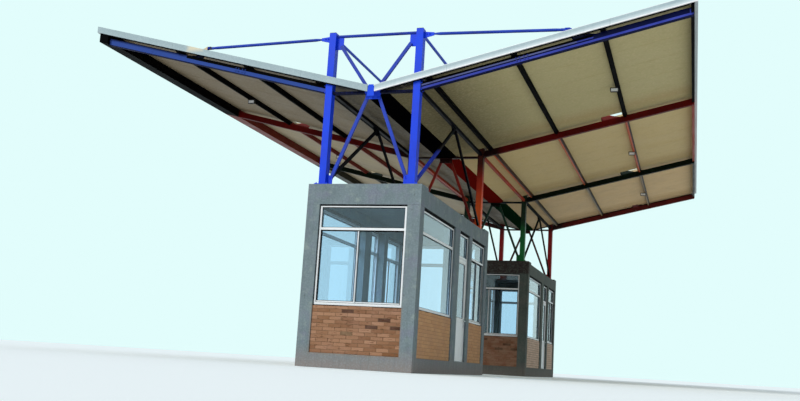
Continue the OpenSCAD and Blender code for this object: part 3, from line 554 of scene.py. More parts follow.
# Every wall bay: its left end seen from outside, its direction, its outward side and its length
def wallBays(p):
    w, d, c = p["halfWidth"], p["depth"], p["column"]
    door = c + p["longBay"] + p["wideColumn"]
    short = door + p["doorBay"] + p["slimColumn"]
    found = {
        "end0": ((c - w, 0), (1, 0), (0, -1), 2 * (w - c)),
        "end1": ((w - c, d), (-1, 0), (0, 1), 2 * (w - c)),
    }
    lengths = {"long": (c, p["longBay"]), "door": (door, p["doorBay"]), "short": (short, d - c - short)}
    for name, (start, length) in lengths.items():
        found["right" + name] = ((w, start), (0, 1), (1, 0), length)
        found["left" + name] = ((-w, start + length), (0, -1), (-1, 0), length)
    return found


bays = wallBays(booth)


# A part drawn along the wall, back into it and up, set into a bay of a booth
def inBay(part, name, bay):
    verts, faces = part
    (x, y), (ux, uy), (nx, ny), length = bay
    axes = np.array(((ux, uy, 0), (-nx, -ny, 0), (0, 0, 1)), float)
    return verts @ axes + np.array((x + middleX, y + boothFront[name], 0)), faces


def allInBay(parts, name, bay):
    return [inBay(part, name, bay) for part in parts]


# Brickwork
brickwork = {
    "courses": 13, "length": 0.235, "joint": 0.008, "proud": 0.004, "back": 0.025, "sunk": 0.018,
    "cut": 0.002, "waver": 0.0012, "least": 0.03, "burntReach": (0.12, 0.036), "burntTone": 0.02,
    "burnt": ((0.73, 1.06), (1.245, 0.78), (1.52, 0.92), (1.715, 0.785)),
}


# Stretcher bond: course r starts half a brick further along on every other row, cut off at the bay's ends
def layBricks(p, length, height):
    pitch, course, waver = p["length"] + p["joint"], height / p["courses"], p["waver"]
    row, n = np.meshgrid(np.arange(p["courses"]), np.arange(-1, int(length / pitch) + 2), indexing="ij")
    start = n * pitch - (row % 2) * pitch / 2 + random.normal(0, waver, row.shape)
    low = np.clip(start, 0.002, length - 0.002)
    high = np.clip(start + p["length"] + random.normal(0, waver, row.shape), 0.002, length - 0.002)
    kept = high - low > p["least"]
    low, high, row = low[kept], high[kept], row[kept]
    face = p["back"] - p["proud"] + random.normal(0, waver, row.shape)
    foot = row * course + p["joint"] / 2 + random.normal(0, waver / 2, row.shape)
    top = foot + course - p["joint"]
    back = np.full(len(low), p["back"] + p["sunk"])
    return cutBoxes(np.stack([low, face, foot], 1), np.stack([high, back, top], 1), p["cut"])


# Bricks of the ends come from the darker half of the kiln, those of the sides from the paler one
def makeBricks(name, finish, endTones, sideTones):
    parts, tones = [], []
    for key, bay in bays.items():
        if key == "rightdoor":
            continue
        verts, faces = layBricks(brickwork, bay[3], booth["sill"] - booth["floor"])
        least, most = endTones if key.startswith("end") else sideTones
        lift = np.array((0, 0, booth["floor"]))
        middles = verts.reshape(-1, 24, 3).mean(1) + lift
        heat = least + random.random(len(middles)) * (most - least)
        if key == "end0":       # overburnt bricks, along the wall and up
            away = np.abs(middles[:, None, ::2] - np.array(brickwork["burnt"]))
            heat[np.unique((away / brickwork["burntReach"]).max(2).argmin(0))] = brickwork["burntTone"]
        tones.append(np.repeat(heat, 24))
        parts.append(inBay((verts + lift, faces), name, bay))
    makePiece(f"{name}_booth_bricks", parts, finish, tone=np.concatenate(tones))


# Wire-cut fired clay: each brick its own tone from kiln heat, sandy face, a few burnt dark
def firedBrick(name, p):
    made, tree, place = startMaterial(name)
    tone = addNode(tree, "Attribute", attribute_name="tone").outputs["Fac"]
    ramp = addNode(tree, "ValToRGB", {0: tone})
    stops = ramp.color_ramp.elements
    while len(stops) < len(p["tones"]):
        stops.new(0.5)
    for stop, (at, colour) in zip(stops, p["tones"]):
        stop.position, stop.color = at, linear(colour)
    noise = {"Vector": place, "Detail": 4.0}
    blush = addNode(tree, "TexNoise", {**noise, "Scale": 1 / p["blush"], "Roughness": 0.65}).outputs["Fac"]
    sand = addNode(tree, "TexNoise", {**noise, "Scale": 1 / p["sand"], "Roughness": 0.7}).outputs["Fac"]
    # long shadows of uneven courses, on the darker bricks only
    squeeze = (1 / p["streak"], 1 / p["streak"], 1 / p["streakHigh"])
    flat = addNode(tree, "Mapping", {"Vector": place, "Scale": squeeze})
    streak = addNode(tree, "TexNoise", {"Vector": flat, "Scale": 1.0, "Detail": 2.0}).outputs["Fac"]
    streak = addNode(tree, "MapRange", {0: streak, 1: p["streaks"], 2: p["streaks"] + 0.05, 3: 0.0, 4: 0.8})
    dark = addNode(tree, "Math", {0: tone, 1: 0.7}, operation="LESS_THAN")
    colour = layTones(tree, ramp.outputs[0], (
        (addNode(tree, "MapRange", {0: blush, 1: 0.4, 2: 0.75, 3: 0.0, 4: 0.4}), p["dust"]),
        (addNode(tree, "MapRange", {0: sand, 1: 0.56, 2: 0.72, 3: 0.0, 4: 0.5}), p["pit"]),
        (addNode(tree, "Math", {0: streak, 1: dark}, operation="MULTIPLY"), p["shade"])))
    bump = addNode(tree, "Bump", {"Height": sand, "Distance": 0.003, "Strength": 0.8})
    endMaterial(tree, addNode(tree, "BsdfPrincipled", {
        "Base Color": colour, "Roughness": p["rough"], "Specular IOR Level": 0.2, "Normal": bump}))
    return made


brick = {"sand": 0.006, "rough": 0.92, "streak": 0.16, "streakHigh": 0.02}
materials["tanBrick"] = firedBrick("tanBrick", {
    **brick, "blush": 0.45, "dust": "#b08a76", "pit": "#7c5638", "streaks": 0.62, "shade": "#54321a",
    "tones": ((0.0, "#2c1408"), (0.04, "#3c2012"), (0.1, "#7e5638"), (0.35, "#966e50"), (0.6, "#b08668"),
              (0.75, "#cc9e72"), (1.0, "#d6aa7c"))})
materials["buffBrick"] = firedBrick("buffBrick", {
    **brick, "blush": 0.3, "dust": "#b39c80", "pit": "#7c6048", "streaks": 0.64, "shade": "#4c3020",
    "tones": ((0.0, "#442818"), (0.1, "#80563e"), (0.5, "#98705a"), (0.75, "#d6bfa8"), (1.0, "#e4d0bc"))})
makeBricks("front", "tanBrick", (0.15, 0.58), (0.75, 1.0))
makeBricks("rear", "buffBrick", (0.10, 0.50), (0.75, 1.0))
print("bricks")

# Windows: slim sliding sashes in the outer frames, black rubber round every pane, a black joint to the wall,
# widened at the heads and laid under the sills as painted shade
window = {
    "stile": 0.010, "rail": 0.030, "sashDepth": 0.022, "lap": 0.020, "gasket": 0.010, "gasketBack": 0.012,
    "seal": 0.014, "headShade": {"end": 0.026, "side": 0.047}, "headBead": 0.024, "footShade": 0.014,
    "meeting": {"end": 0.46, "short": 0.5}, "outerFace": 0.024, "innerFace": 0.001, "track": 0.012,
    "pull": 0.16, "pullHeight": 1.85, "pullEdge": 0.006, "cut": 0.002,
}
windowLists = {
    "sashes": ("whitePowderCoat", "white_frame_paint"), "gaskets": ("blackRubber", "black_paint"),
    "frame_joints_and_shade": ("blackRubber", "black_paint"), "window_pulls": ("brushedSteel", "gutter_paint"),
}


# The four bars round an opening, from its outer edge inwards: left, right, bottom and top bar
def ring(s0, s1, z0, z1, back0, back1, bars, cut):
    left, right, bottom, top = np.broadcast_to(bars, 4)
    low = [(s0, back0, z0), (s0, back0, z1 - top), (s0, back0, z0 + bottom), (s1 - right, back0, z0 + bottom)]
    high = [(s1, back1, z0 + bottom), (s1, back1, z1), (s0 + left, back1, z1 - top), (s1, back1, z1 - top)]
    return cutBoxes(low, high, cut)


# Two sashes that lap at the meeting stile, their gaskets, a pull on the outer one and a seal round both
def drawSashes(left, right, z0, z1, meet, front, pane, p):
    outer = (left, meet + p["lap"] / 2, pane - p["outerFace"], (p["stile"], p["lap"]))
    inner = (meet - p["lap"] / 2, right, pane - p["innerFace"], (p["lap"], p["stile"]))
    parts = []
    for s0, s1, face, stiles in (outer, inner):
        bars = (*stiles, p["rail"], p["track"])
        parts.append(("sashes", ring(s0, s1, z0, z1, face, face + p["sashDepth"], bars, p["cut"])))
        clear = (s0 + bars[0], s1 - bars[1], z0 + bars[2], z1 - bars[3])
        parts.append(("gaskets", ring(*clear, face + 0.004, face + 0.018, p["gasket"], 0.001)))
    end, face = outer[1:3]
    low = (end - p["lap"] + p["pullEdge"], face - 0.001, p["pullHeight"])
    high = (end - p["pullEdge"], face + 0.004, p["pullHeight"] + p["pull"])
    parts.append(("window_pulls", cutBoxes(low, high, 0.002)))
    bars = (0.008, 0.008, 0.002, p["track"])
    parts.append(("gaskets", ring(left, right, z0, z1, front, face - 0.002, bars, 0.001)))
    return parts


# One bay's window parts, each with the list it belongs to
def drawWindow(key, length, p, w):
    pane = w["windowBack"] + (w["barDepth"] - w["glass"]) / 2
    front = w["windowBack"] + p["gasketBack"]
    isEnd, isDoor = key.startswith("end"), key == "rightdoor"
    left, right, high = w["bar"], length - w["bar"], w["head"] - w["bar"]
    middle = w["doorHead"] if isDoor else w["transom"]
    foot = w["floor"] if isDoor else w["sill"]
    parts = []
    # the dark head joint of the sides is painted shade
    if not isEnd:       # white bead under the dark head joint of the sides
        low = (left, front - 0.008, high - p["headBead"])
        parts.append(("sashes", cutBoxes(low, (right, front + 0.004, high + 0.001), 0.001)))
    # the black joint round the frame, its head bar widened as painted shade
    bars = (p["seal"], p["seal"], 0.002, p["headShade"]["end" if isEnd else "side"])
    edges = (0.0005, length - 0.0005, foot, w["head"] - 0.0005)
    back = w["windowBack"]
    parts.append(("frame_joints_and_shade", ring(*edges, back - 0.002, back + 0.01, bars, 0.001)))
    lights = [(left, right, middle + w["bar"] / 2, high)]
    if not isDoor:
        # a dark strip under the sill, as painted shade
        low = (0.002, brickwork["back"] - brickwork["proud"] - 0.001, foot - p["footShade"])
        high = (length - 0.002, w["windowBack"] + 0.002, foot + 0.002)
        parts.append(("frame_joints_and_shade", cutBoxes(low, high, 0.003)))
        z0, z1 = w["sill"] + w["bar"], w["transom"] - w["bar"] / 2
        share = [value for word, value in p["meeting"].items() if word in key]
        if share:
            parts += drawSashes(left, right, z0, z1, left + (right - left) * share[0], front, pane, p)
        else:       # one fixed pane
            lights.append((left, right, z0, z1))
    return parts + [("gaskets", ring(*light, front, pane - 0.0005, p["gasket"], 0.001)) for light in lights]


def makeWindows(name, p, w):
    found = {kind: [] for kind in windowLists}
    for key, bay in bays.items():
        for kind, part in drawWindow(key, bay[3], p, w):
            found[kind].append(inBay(part, name, bay))
    for kind, (finish, slot) in windowLists.items():
        makePiece(f"{name}_booth_{kind}", found[kind], finish)


for name in ("front", "rear"):
    makeWindows(name, window, booth)
print("windows")

# Doors
door = {
    "bead": 0.016, "beadDepth": 0.0165, "field": 0.006, "fieldGap": 0.012, "inset": 0.012, "gasket": 0.008,
    "gasketHalf": 0.0075, "roseWidth": 0.042, "roseHeight": 0.21, "roseDrop": 0.15,
    "sleeve": (0.0275, 0.0455), "sleeveHalf": 0.012, "lever": 0.122, "cylinderDrop": 0.1, "sillProud": 0.02,
}


def makeDoor(name, p, w):
    bay, body = bays["rightdoor"], f"{name}_door"
    start = w["bar"] + w["gap"]
    end = w["doorBay"] - w["bar"] - w["gap"]
    low, high = w["floor"] + 2 * w["gap"], w["doorHead"] - w["bar"] / 2 - w["gap"]
    outer, inner = w["windowBack"], w["windowBack"] + w["leaf"]
    middle = (outer + inner) / 2
    light = (start + w["stile"], end - w["stile"], w["sill"] + w["stile"] / 2, high - w["stile"])
    beads = [ring(*light, back, back + p["beadDepth"], p["bead"], 0.004)
             for back in (outer + 0.001, inner - 0.001 - p["beadDepth"])]
    grow = p["fieldGap"]
    # raised field of the lower panel
    for face, sign in ((outer + p["inset"], -1), (inner - p["inset"], 1)):
        near, back = sorted((face, face + sign * p["field"]))
        beads.append(cutBoxes((light[0] + grow, near, low + w["kick"] + grow),
                              (light[1] - grow, back, w["sill"] - w["stile"] / 2 - grow), 0.005))
    clear = (light[0] + p["bead"], light[1] - p["bead"], light[2] + p["bead"], light[3] - p["bead"])
    rubber = ring(*clear, middle - p["gasketHalf"], middle + p["gasketHalf"], p["gasket"], 0.001)
    lock, foot, half = end - w["stile"] / 2, w["sill"] - p["roseDrop"], p["roseWidth"] / 2
    # plates round the handles
    metal = [cutBoxes((lock - half, near, foot), (lock + half, near + 0.0045, foot + p["roseHeight"]), 0.002)
             for near in (outer - 0.004, inner - 0.0005)]
    # bright sleeves over the levers, cylinder under them
    half, lever = p["sleeveHalf"], w["sill"]
    for sign, face in ((-1, outer), (1, inner)):
        near, back = sorted(face + sign * reach for reach in p["sleeve"])
        sleeve = (lock - p["lever"], near, lever - half), (lock + half, back, lever + half)
        metal.append(cutBoxes(*sleeve, 0.005))
        barrel = (lock, face + sign * 0.003, lever - p["cylinderDrop"])
        neck = (lock, face + sign * 0.001, lever)
        metal.append(lathe([(0.0085, 0), (0.0085, 0.008), (0.006, 0.0095)], barrel, (0, sign, 0), 20))
        metal.append(lathe([(0.0125, 0), (0.0125, 0.034)], neck, (0, sign, 0), 24))
    sill = cutBoxes((w["bar"] + 0.001, outer - p["sillProud"], w["floor"] - 0.0005),
                    (w["doorBay"] - w["bar"] - 0.001, inner + p["sillProud"], w["floor"] + 0.006), 0.002)
    beads, rubber, metal, sill = (allInBay(parts, name, bay) for parts in (beads, [rubber], metal, [sill]))
    makePiece(f"{name}_door_beads", beads, "whitePowderCoat", body=body)
    makePiece(f"{name}_door_gasket", rubber, "blackRubber", body=body)
    makePiece(f"{name}_door_furniture", metal, "brushedSteel", body=body, smooth=True)
    makePiece(f"{name}_door_threshold", sill, "brushedSteel")


for name in ("front", "rear"):
    makeDoor(name, door, booth)
print("doors")

# Steel frames: bolts, end plates, splices, welds and purlin cleats
joints = {
    "braceBolt": 0.022, "anchor": 0.024, "anchorSpread": 0.108, "tieBolt": 0.022, "tieBolts": (0.05, 0.11),
    "plateBolt": 0.020, "splice": 3.03, "spliceHalf": 0.15, "spliceThick": 0.008, "spliceEdge": 0.018,
    "spliceBolt": 0.016, "spliceAlong": (-0.11, -0.045, 0.045, 0.11), "spliceUp": (0.045, 0.105),
    "weld": 5.1, "endPlate": 0.012, "endPlateHalf": 0.075, "endPlateOver": 0.03, "endBoltOut": 0.062,
    "endBoltUp": 0.04, "cleatHeight": 0.052, "cleatHalf": 0.045, "cleatThick": 0.006, "cleatFoot": 0.05,
    "valleyBolts": ((-0.1, -0.085), (0.1, -0.085), (0.0, -0.085), (-0.125, 0.08), (0.125, 0.08)),
    "bar": {"reach": 4.25, "tip": 5.93, "highlightReach": 3.95, "thick": 0.004, "foot": {-1: 0.088, 1: 0.108},
            "seam": 0.078, "lower": (0.054, 0.078)},
    "lip": {"half": 0.03, "deep": 0.045},
}


# Box drawn along a wing: s up the slope, y back, h square to the slope
def onWing(side, low, high, cut=0.002):
    verts, faces = cutBoxes(low, high, cut)
    s, y, h = verts.T
    x = side * (s * cosine - h * slope * cosine)
    z = valleyHeight + s * slope * cosine + h * cosine
    return np.stack([x + middleX, y, z], 1), [group[:, ::side] for group in faces]


def wingPoint(side, s, h):      # plan x and height of a point of a wing's section
    return side * (s - h * slope) * cosine + middleX, valleyHeight + (s * slope + h) * cosine


# Bolts through a bar and its gusset, at distances from the bar's first end
def barBolts(p, q, distances, faces, size):
    p, q = np.array(p), np.array(q)
    found = []
    for distance in distances:
        x, z = p + (q - p) / np.linalg.norm(q - p) * distance
        for y, axis in faces:
            found += bolt((x + middleX, y, z), axis, size)
    return found


def makeSteelwork(index, p, j):
    y, colour = frameY[index], colours[index]
    parts, plates = [], []
    ends = (-1, 1)
    gusset = [(y + face * p["gusset"] / 2, (0, face, 0)) for face in ends]
    braced = [(gusset[1][0] + p["braceDepth"], (0, 1, 0)), gusset[0]]
    w, d = p["postWidth"] / 2 - 0.004, p["postDepth"] / 2 - 0.004
    postIn, postOut = p["postX"] - p["postWidth"] / 2, p["postX"] + p["postWidth"] / 2
    for side in ends:
        x = side * p["postX"] + middleX
        # cap of the post, anchor bolts of its base plate
        top = p["postTop"]
        plates.append(cutBoxes((x - w, y - d, top - 0.001), (x + w, y + d, top + 0.009), 0.003))
        for dx, dy in product(ends, ends):
            place = (x + dx * j["anchorSpread"], y + dy * j["anchorSpread"], p["plateTop"])
            parts += bolt(place, (0, 0, 1), j["anchor"])
        # lower braces lie behind the gussets
        head = (side * p["lowerHead"], linkHeight - p["gripDown"])
        foot = (side * (postIn - p["gripDown"]), p["plateTop"] + p["gripUp"])
        parts += barBolts(head, foot, (0.02,), braced, j["braceBolt"])
        parts += barBolts(foot, head, (0.012, 0.045), braced, j["braceBolt"] * 0.8)
        for (face, axis), dx in product(gusset, j["tieBolts"]):
            parts += bolt((side * (postOut + dx) + middleX, face, p["tieHeight"] + 0.005), axis, j["tieBolt"])
        # fork pin: washer and nut outside each cheek
        high = under(p["lugX"]) + p["rafterDepth"] / cosine + p["lugRise"]
        for face in ends:
            pin, axis = (side * p["lugX"] + middleX, y + face * 0.0255, high), (0, face, 0)
            parts.append(lathe([(0.024, -0.008), (0.024, -0.004)], pin, axis, 20))
            parts.append(lathe([(0.02, -0.004), (0.02, 0.004), (0.017, 0.0065)], pin, axis, 6))
        # end plate of the rafter on the post, with four bolts
        z0 = under(postOut) - j["endPlateOver"]
        z1 = under(postOut) + p["rafterDepth"] / cosine + j["endPlateOver"]
        near, back = sorted((side * postOut + middleX, side * (postOut + j["endPlate"]) + middleX))
        plates.append(cutBoxes((near, y - j["endPlateHalf"], z0), (back, y + j["endPlateHalf"], z1), 0.002))
        for dy, z in product(ends, (z0 + j["endBoltUp"], z1 - j["endBoltUp"])):
            place = (side * (postOut + j["endPlate"]) + middleX, y + dy * j["endBoltOut"], z)
            parts += bolt(place, (side, 0, 0), j["plateBolt"])
        # splice plates of the rafter; the first frame's front face is bolted without a plate
        s, edge = j["splice"], j["spliceEdge"]
        for face in ends:
            bare = y + face * p["rafterWidth"] / 2
            near, back = sorted((bare, bare + face * j["spliceThick"]))
            if index or face > 0:
                plates.append(onWing(side, (s - j["spliceHalf"], near, edge),
                                     (s + j["spliceHalf"], back, p["rafterDepth"] - edge)))
            for ds, h in product(j["spliceAlong"], j["spliceUp"]):
                x, z = wingPoint(side, s + ds, h)
                plates += bolt((x, bare + face * j["spliceThick"], z), (0, face, 0), j["spliceBolt"])
        # shop weld round the rafter, plate on its end
        reach = p["leftRafter"] if side < 0 else p["rightRafter"]
        base, half = p["rafterDepth"], p["rafterWidth"] / 2 + 0.0025
        for at, wide in ((j["weld"], 0.006), (reach - 0.004, 0.003)):
            s = at / cosine
            low, high = (s - wide, y - half, -0.0005), (s + wide, y + half, base - 0.001)
            plates.append(onWing(side, low, high, 0.001))
        half, thick, foot = j["cleatHalf"], j["cleatThick"], j["cleatFoot"]
        for n in range(3):      # cleat on the uphill side of each purlin
            s = (p["firstPurlin"] + p["purlinPitch"] * n) / cosine + p["purlinWidth"] / 2 + 0.002
            plates.append(onWing(side, (s, y - half, base), (s + thick, y + half, base + j["cleatHeight"])))
            plates.append(onWing(side, (s, y - half, base - 0.0005), (s + foot, y + half, base + thick)))
    for (dx, dz), (face, axis) in product(j["valleyBolts"], gusset):
        parts += bolt((dx + middleX, face, linkHeight + dz), axis, j["plateBolt"] * 0.8)
    makePiece(f"{colour}_frame_bolts", parts, colour + "PostEnamel")
    makePiece(f"{colour}_frame_plates", plates, colour + "RafterEnamel")


for index in range(4):
    makeSteelwork(index, steel, joints)


# Flat bars along the front rafters' faces, from the posts to past the lugs: a black one at the top of each as
# painted shade under the roof, and on the right one a dark second bar below it as a painted shadow line, deep
# past its end, with a pale strip between the two as a painted highlight
def makeFrontBars(p, q):
    start, end = (p["postX"] + p["postWidth"] / 2 + 0.02) / cosine, q["reach"] / cosine
    face, top = frameY[0] - p["rafterWidth"] / 2, p["rafterDepth"] + 0.001
    front, back = face - q["thick"], face + 0.001
    bars = [onWing(side, (start, front, q["foot"][side]), (end, back, top)) for side in (-1, 1)]
    low, high = q["lower"]
    lower = [onWing(1, (start, front, low), (end, back, high)),
             onWing(1, (end, front, low), (q["tip"] / cosine, back, top))]
    highlightEnd = (q["highlightReach"] / cosine, back, q["foot"][1] + 0.001)
    seam = [onWing(1, (start, face - 0.003, q["seam"]), highlightEnd)]
    makePiece("front_rafter_shade_bars", bars, "blackEnamel")
    makePiece("front_rafter_shadow_line", lower, "shadowLineEnamel")
    makePiece("front_rafter_highlight", seam, "highlightLineEnamel")


makeFrontBars(steel, joints["bar"])


# Lower lips of the folded purlins, between the rafters
def makePurlinLips(p, q):
    bayCoats = (("front", "blackEnamel", "black_paint"), ("middle", "orangeEnamel", "orange_paint"),
                ("rear", "khakiPurlinEnamel", "dark_green_paint"))
    low, high, clear = p["rafterDepth"] - q["deep"], p["rafterDepth"] + 0.001, p["rafterWidth"] / 2 + 0.003
    middles = [(p["firstPurlin"] + n * p["purlinPitch"]) / cosine for n in range(3)]
    for i, (bay, finish, paint) in enumerate(bayCoats):
        start, end = frameY[i] + clear, frameY[i + 1] - clear
        lips = [onWing(side, (s - q["half"], start, low), (s + q["half"], end, high), 0.004)
                for side, s in product((-1, 1), middles)]
        makePiece(f"{bay}_purlin_lips", lips, finish)


makePurlinLips(steel, joints["lip"])
print("steelwork")

# Roof: ribs of the sheet above, laps below, flashings round the posts, straps over the valley
roof = {
    "ribPitch": 0.25, "ribFoot": 0.064, "ribTop": 0.03, "ribHeight": 0.028, "ribStart": 0.19,
    "postClear": 1.06, "seamPitch": 1.0, "seamWidth": 0.022, "seamDepth": 0.003, "seamStart": 0.26,
    "strapPitch": 0.92, "strapHalf": 0.24, "strapBolt": 0.014, "collar": 0.05, "closure": 0.035, "foam": 0.03,
    "lugInner": 3.84, "lugOuter": 4.03,
}


# Distance up the slope of a point at a plan distance and a height over the rafters' underside
def alongWing(x, h):
    return x / cosine + h * slope


# Trapezoid rib down the slope: foot width, top width and height, between two distances from the valley
def rib(side, x0, x1, y, p, base):
    s = alongWing(np.array((x0, x1)), base)
    foot, top, height = p["ribFoot"] / 2, p["ribTop"] / 2, p["ribHeight"]
    across = np.array(((-foot, base), (-top, base + height), (top, base + height), (foot, base)))
    ss, n = np.meshgrid(s, np.arange(4), indexing="ij")
    x, z = wingPoint(side, ss, across[n][..., 1])
    verts = np.stack([x, y + across[n][..., 0], z], -1).reshape(-1, 3)
    quads = np.array([(0, 1, 5, 4), (1, 2, 6, 5), (2, 3, 7, 6), (3, 0, 4, 7), (3, 2, 1, 0), (4, 5, 6, 7)])
    return verts, [quads[:, ::side]]


# The stretches of a line down the slope that miss the posts and the open places round the lugs
def stretches(y, start, end, half, p, q):
    away = np.abs(np.array(frameY) - y).min()
    first = max(start, p["postClear"]) if away < q["postDepth"] / 2 + half + 0.03 else start
    if away > q["lugHoleHalf"] + half:
        return [(first, end)]
    return [(first, q["lugHole"][0] - 0.01), (q["lugHole"][1] + 0.01, end)]


def makeRoof(p, q):
    above, below = panelHigh * cosine, panelLow * cosine
    for side, word, reach in ((-1, "left", q["leftEave"]), (1, "right", q["rightEave"])):
        ribs, seams = [], []
        for y in np.arange(roofStart + 0.10, roofEnd - 0.05, p["ribPitch"]):
            for x0, x1 in stretches(y, p["ribStart"], reach - 0.05, p["ribFoot"] / 2, p, q):
                ribs.append(rib(side, x0, x1, y, p, above - 0.0005))
        half = p["seamWidth"] / 2
        for y in np.arange(roofStart + p["seamPitch"] / 2, roofEnd, p["seamPitch"]):
            for x0, x1 in stretches(y, p["seamStart"], reach - 0.14, half, p, q):
                seams.append(onWing(side, (alongWing(x0, below), y - half, below - p["seamDepth"]),
                                    (alongWing(x1, below), y + half, below + 0.001), 0.001))
        covers = []     # sheet let in beside the lugs
        for i, y in enumerate(frameY):
            sides = [(q["lugHole"][0] - 0.002, p["lugInner"])]
            if i in (0, 3):
                sides.append((p["lugOuter"], q["lugHole"][1] + 0.002))
            for x0, x1 in sides:
                near = max(y - q["lugHoleHalf"] - 0.002, roofStart + 0.001)
                back = min(y + q["lugHoleHalf"] + 0.002, roofEnd - 0.001)
                covers.append(onWing(side, (alongWing(x0, below), near, below + 0.002),
                                     (alongWing(x1, below), back, above - 0.002), 0.001))
        finish = word + "CoatedSheet"
        makePiece(f"{word}_roof_ribs", ribs, finish)
        makePiece(f"{word}_sheet_laps", seams, finish)
        makePiece(f"{word}_lug_covers", covers, finish)
    collars, straps = [], []
    w, d, wide = q["postWidth"] / 2 + 0.004, q["postDepth"] / 2 + 0.004, p["collar"]
    strips = (((-w - wide, -d - wide), (w + wide, -d)), ((-w - wide, d), (w + wide, d + wide)),
              ((-w - wide, -d), (-w, d)), ((w, -d), (w + wide, d)))
    for y, side in product(frameY, (-1, 1)):
        x = side * q["postX"] + middleX
        low, high = under(q["postX"]) + panelHigh - 0.03, under(q["postX"]) + panelHigh + 0.05
        for a, b in strips:
            collars.append(cutBoxes((x + a[0], y + a[1], low), (x + b[0], y + b[1], high), 0.012))
    z = under(q["valleyGap"]) + panelHigh + 0.012
    x0, x1 = middleX - p["strapHalf"], middleX + p["strapHalf"]
    for y in np.arange(roofStart + 0.5, roofEnd, p["strapPitch"]):
        if np.abs(np.array(frameY) - y).min() > 0.12:
            straps.append(cutBoxes((x0, y - 0.016, z), (x1, y + 0.016, z + 0.004), 0.001))
            for x in (x0 + 0.035, x1 - 0.035):
                straps += bolt((x, y, z + 0.004), (0, 0, 1), p["strapBolt"])
    makePiece("post_flashings", collars, "flashingPaint")
    makePiece("valley_straps", straps, "flashingPaint")


# Black foam strips between the end fascias and the sheet
def makeClosures(p, q):
    strips, below = [], panelLow * cosine
    wings = ((-1, q["leftEave"]), (1, q["rightEave"]))
    for (face, y), (side, reach) in product(((-1, roofStart), (1, roofEnd)), wings):
        near, back = sorted((y, y - face * p["foam"]))
        low = (p["seamStart"], near, below - p["closure"])
        high = ((reach - 0.10) / cosine, back, below + 0.001)
        strips.append(onWing(side, low, high, 0.003))
    makePiece("fascia_closures", strips, "blackRubber")


makeRoof(roof, steel)
makeClosures(roof, steel)
print("roof")

# Floodlights: finned housings on yokes under their brackets, white lenses in dark bezels
lamp = {
    "bracketX": steel["firstPurlin"] + 2 * steel["purlinPitch"] - steel["rafterDepth"] * math.sin(slopeAngle),
    "towardsValley": 0.06, "back": 0.41, "width": 0.19, "height": 0.11, "depth": 0.10, "drop": 0.04,
    "bracketHalf": 0.015, "yokeHalf": 0.014, "yokeDrop": 0.065, "strap": 0.005, "fins": 9, "finHalf": 0.0015,
    "bezel": 0.013, "glassEdge": 0.010,
}


def makeLamps(p):
    housings, lenses, bright = [], [], []
    ceiling = under(p["bracketX"]) + steel["rafterDepth"] / cosine
    top = ceiling - p["drop"]
    w, h, d, thick, hang = p["width"] / 2, p["height"], p["depth"] / 2, p["strap"], p["bracketHalf"]
    yoke, b, g = p["yokeHalf"], p["bezel"], p["glassEdge"]
    for side, i in product((-1, 1), range(3)):
        x = side * (p["bracketX"] - p["towardsValley"]) + middleX
        hold = side * p["bracketX"] + middleX
        y = (frameY[i] + frameY[i + 1]) / 2 + p["back"]
        # bracket from the purlin, yoke over the housing with a clamping bolt on each side
        low, high = (hold - hang, y - 0.003, top), (hold + hang, y + 0.003, ceiling - 0.002)
        housings.append(cutBoxes(low, high, 0.001))
        near, back = sorted((hold + side * hang, x - side * w))
        housings.append(cutBoxes((near, y - yoke, top - thick), (back, y + yoke, top + 0.001), 0.001))
        bright += bolt((hold, y - 0.003, top + 0.022), (0, -1, 0), 0.016)
        for e in (-1, 1):
            near, back = sorted((x + e * w, x + e * (w - thick)))
            housings.append(cutBoxes((near, y - yoke, top - p["yokeDrop"]), (back, y + yoke, top), 0.001))
            bright += bolt((x + e * (w - thick), y, top - 0.052), (-e, 0, 0), 0.012)
        # housing, fins and cable gland behind, bezel in front
        s0, s1, z0, z1 = x - w + 0.010, x + w - 0.010, top - h + 0.004, top - 0.012
        low, high = (s0 + 0.004, y - 0.02, z0 + 0.004), (s1 - 0.004, y + 0.02, z1 - 0.004)
        housings.append(cutBoxes(low, high, 0.006))
        fins = np.linspace(s0 + 0.012, s1 - 0.012, p["fins"])[:, None] * (1, 0, 0)
        low = fins + (-p["finHalf"], y + 0.018, z0 + 0.008)
        high = fins + (p["finHalf"], y + d - 0.002, z1 - 0.008)
        housings.append(cutBoxes(low, high, 0.0006))
        housings.append(lathe([(0.006, 0), (0.006, 0.02)], (x, y + 0.018, z0 + 0.03), (0, 1, 0), 16))
        for a0, a1, b0, b1 in ((s0, s1, z0, z0 + b), (s0, s1, z1 - b, z1),
                               (s0, s0 + b, z0, z1), (s1 - b, s1, z0, z1)):
            housings.append(cutBoxes((a0, y - 0.036, b0), (a1, y - 0.018, b1), 0.002))
        lenses.append(cutBoxes((s0 + g, y - 0.031, z0 + g), (s1 - g, y - 0.019, z1 - g), 0.002))
    made = makePiece("floodlight_housings", housings, "castHousing")
    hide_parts("floodlights")
    makePiece("floodlight_lenses", lenses, "frostedLens")
    makePiece("floodlight_bolts", bright, "brushedSteel")


makeLamps(lamp)
print("floodlights")

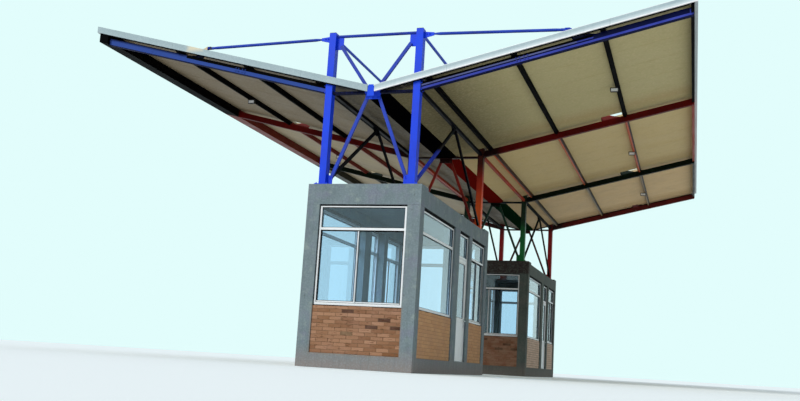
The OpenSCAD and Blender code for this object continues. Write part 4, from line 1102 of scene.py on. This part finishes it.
# Plain floor and light. The floor is pale where it is looked at, also by way of glass or gloss, and
# duller where it only throws light up at the building
studio = {
    "floorSeen": "#f4f8f8", "floorLift": 0.16, "floorGiven": "#e6e6e2", "sky": "#e2fdfc", "dome": "#f0f6ff",
    "domeStrength": 0.50, "reach": 250.0, "sun": 1.8, "sunFrom": (-0.45, -0.85, 0.60), "sunWidth": 25.0,
}


def seenDirectly(tree):     # 1 for what the camera sees, itself or by way of glass and gloss
    rays = addNode(tree, "LightPath").outputs
    seen = addNode(tree, "Math", {0: rays["Is Camera Ray"], 1: rays["Is Glossy Ray"]}, operation="MAXIMUM")
    return addNode(tree, "Math", {0: seen, 1: rays["Is Transmission Ray"]}, operation="MAXIMUM")


def makeStudio(p):
    half = p["reach"]
    mesh = bpy.data.meshes.new("floor")
    corners = np.array([(-1, -1, 0), (1, -1, 0), (1, 1, 0), (-1, 1, 0)]) * half - np.array((0, 0, 0.004))
    mesh.from_pydata(corners.tolist(), [], [(0, 1, 2, 3)])
    floor = bpy.data.objects.new("floor", mesh)
    bpy.context.collection.objects.link(floor)
    made, tree, place = startMaterial("paleFloor")
    lift = addNode(tree, "Math", {0: seenDirectly(tree), 1: p["floorLift"]}, operation="MULTIPLY")
    endMaterial(tree, addNode(tree, "BsdfPrincipled", {
        "Base Color": layTones(tree, linear(p["floorGiven"]), [(seenDirectly(tree), p["floorSeen"])]),
        "Roughness": 0.9, "Specular IOR Level": 0.1, "Emission Color": linear(p["sky"]),
        "Emission Strength": lift}))
    mesh.materials.append(made)
    world = bpy.data.worlds.new("sky")
    world.use_nodes = True
    tree = world.node_tree
    tree.nodes.clear()
    ambient = addNode(tree, "Background", {"Color": linear(p["dome"]), "Strength": p["domeStrength"]})
    shown = addNode(tree, "Background", {"Color": linear(p["sky"]), "Strength": 1.0})
    both = addNode(tree, "MixShader", {0: seenDirectly(tree), 1: ambient, 2: shown})
    addNode(tree, "OutputWorld", {"Surface": both})
    bpy.context.scene.world = world
    light = bpy.data.lights.new("sun", "SUN")
    light.energy = p["sun"]
    light.angle = math.radians(p["sunWidth"])
    sun = bpy.data.objects.new("sun", light)
    sun.rotation_euler = Vector(p["sunFrom"]).to_track_quat("Z", "Y").to_euler()
    bpy.context.collection.objects.link(sun)


makeStudio(studio)
bpy.context.scene.view_settings.view_transform = "Standard"
print("camera, floor and light")
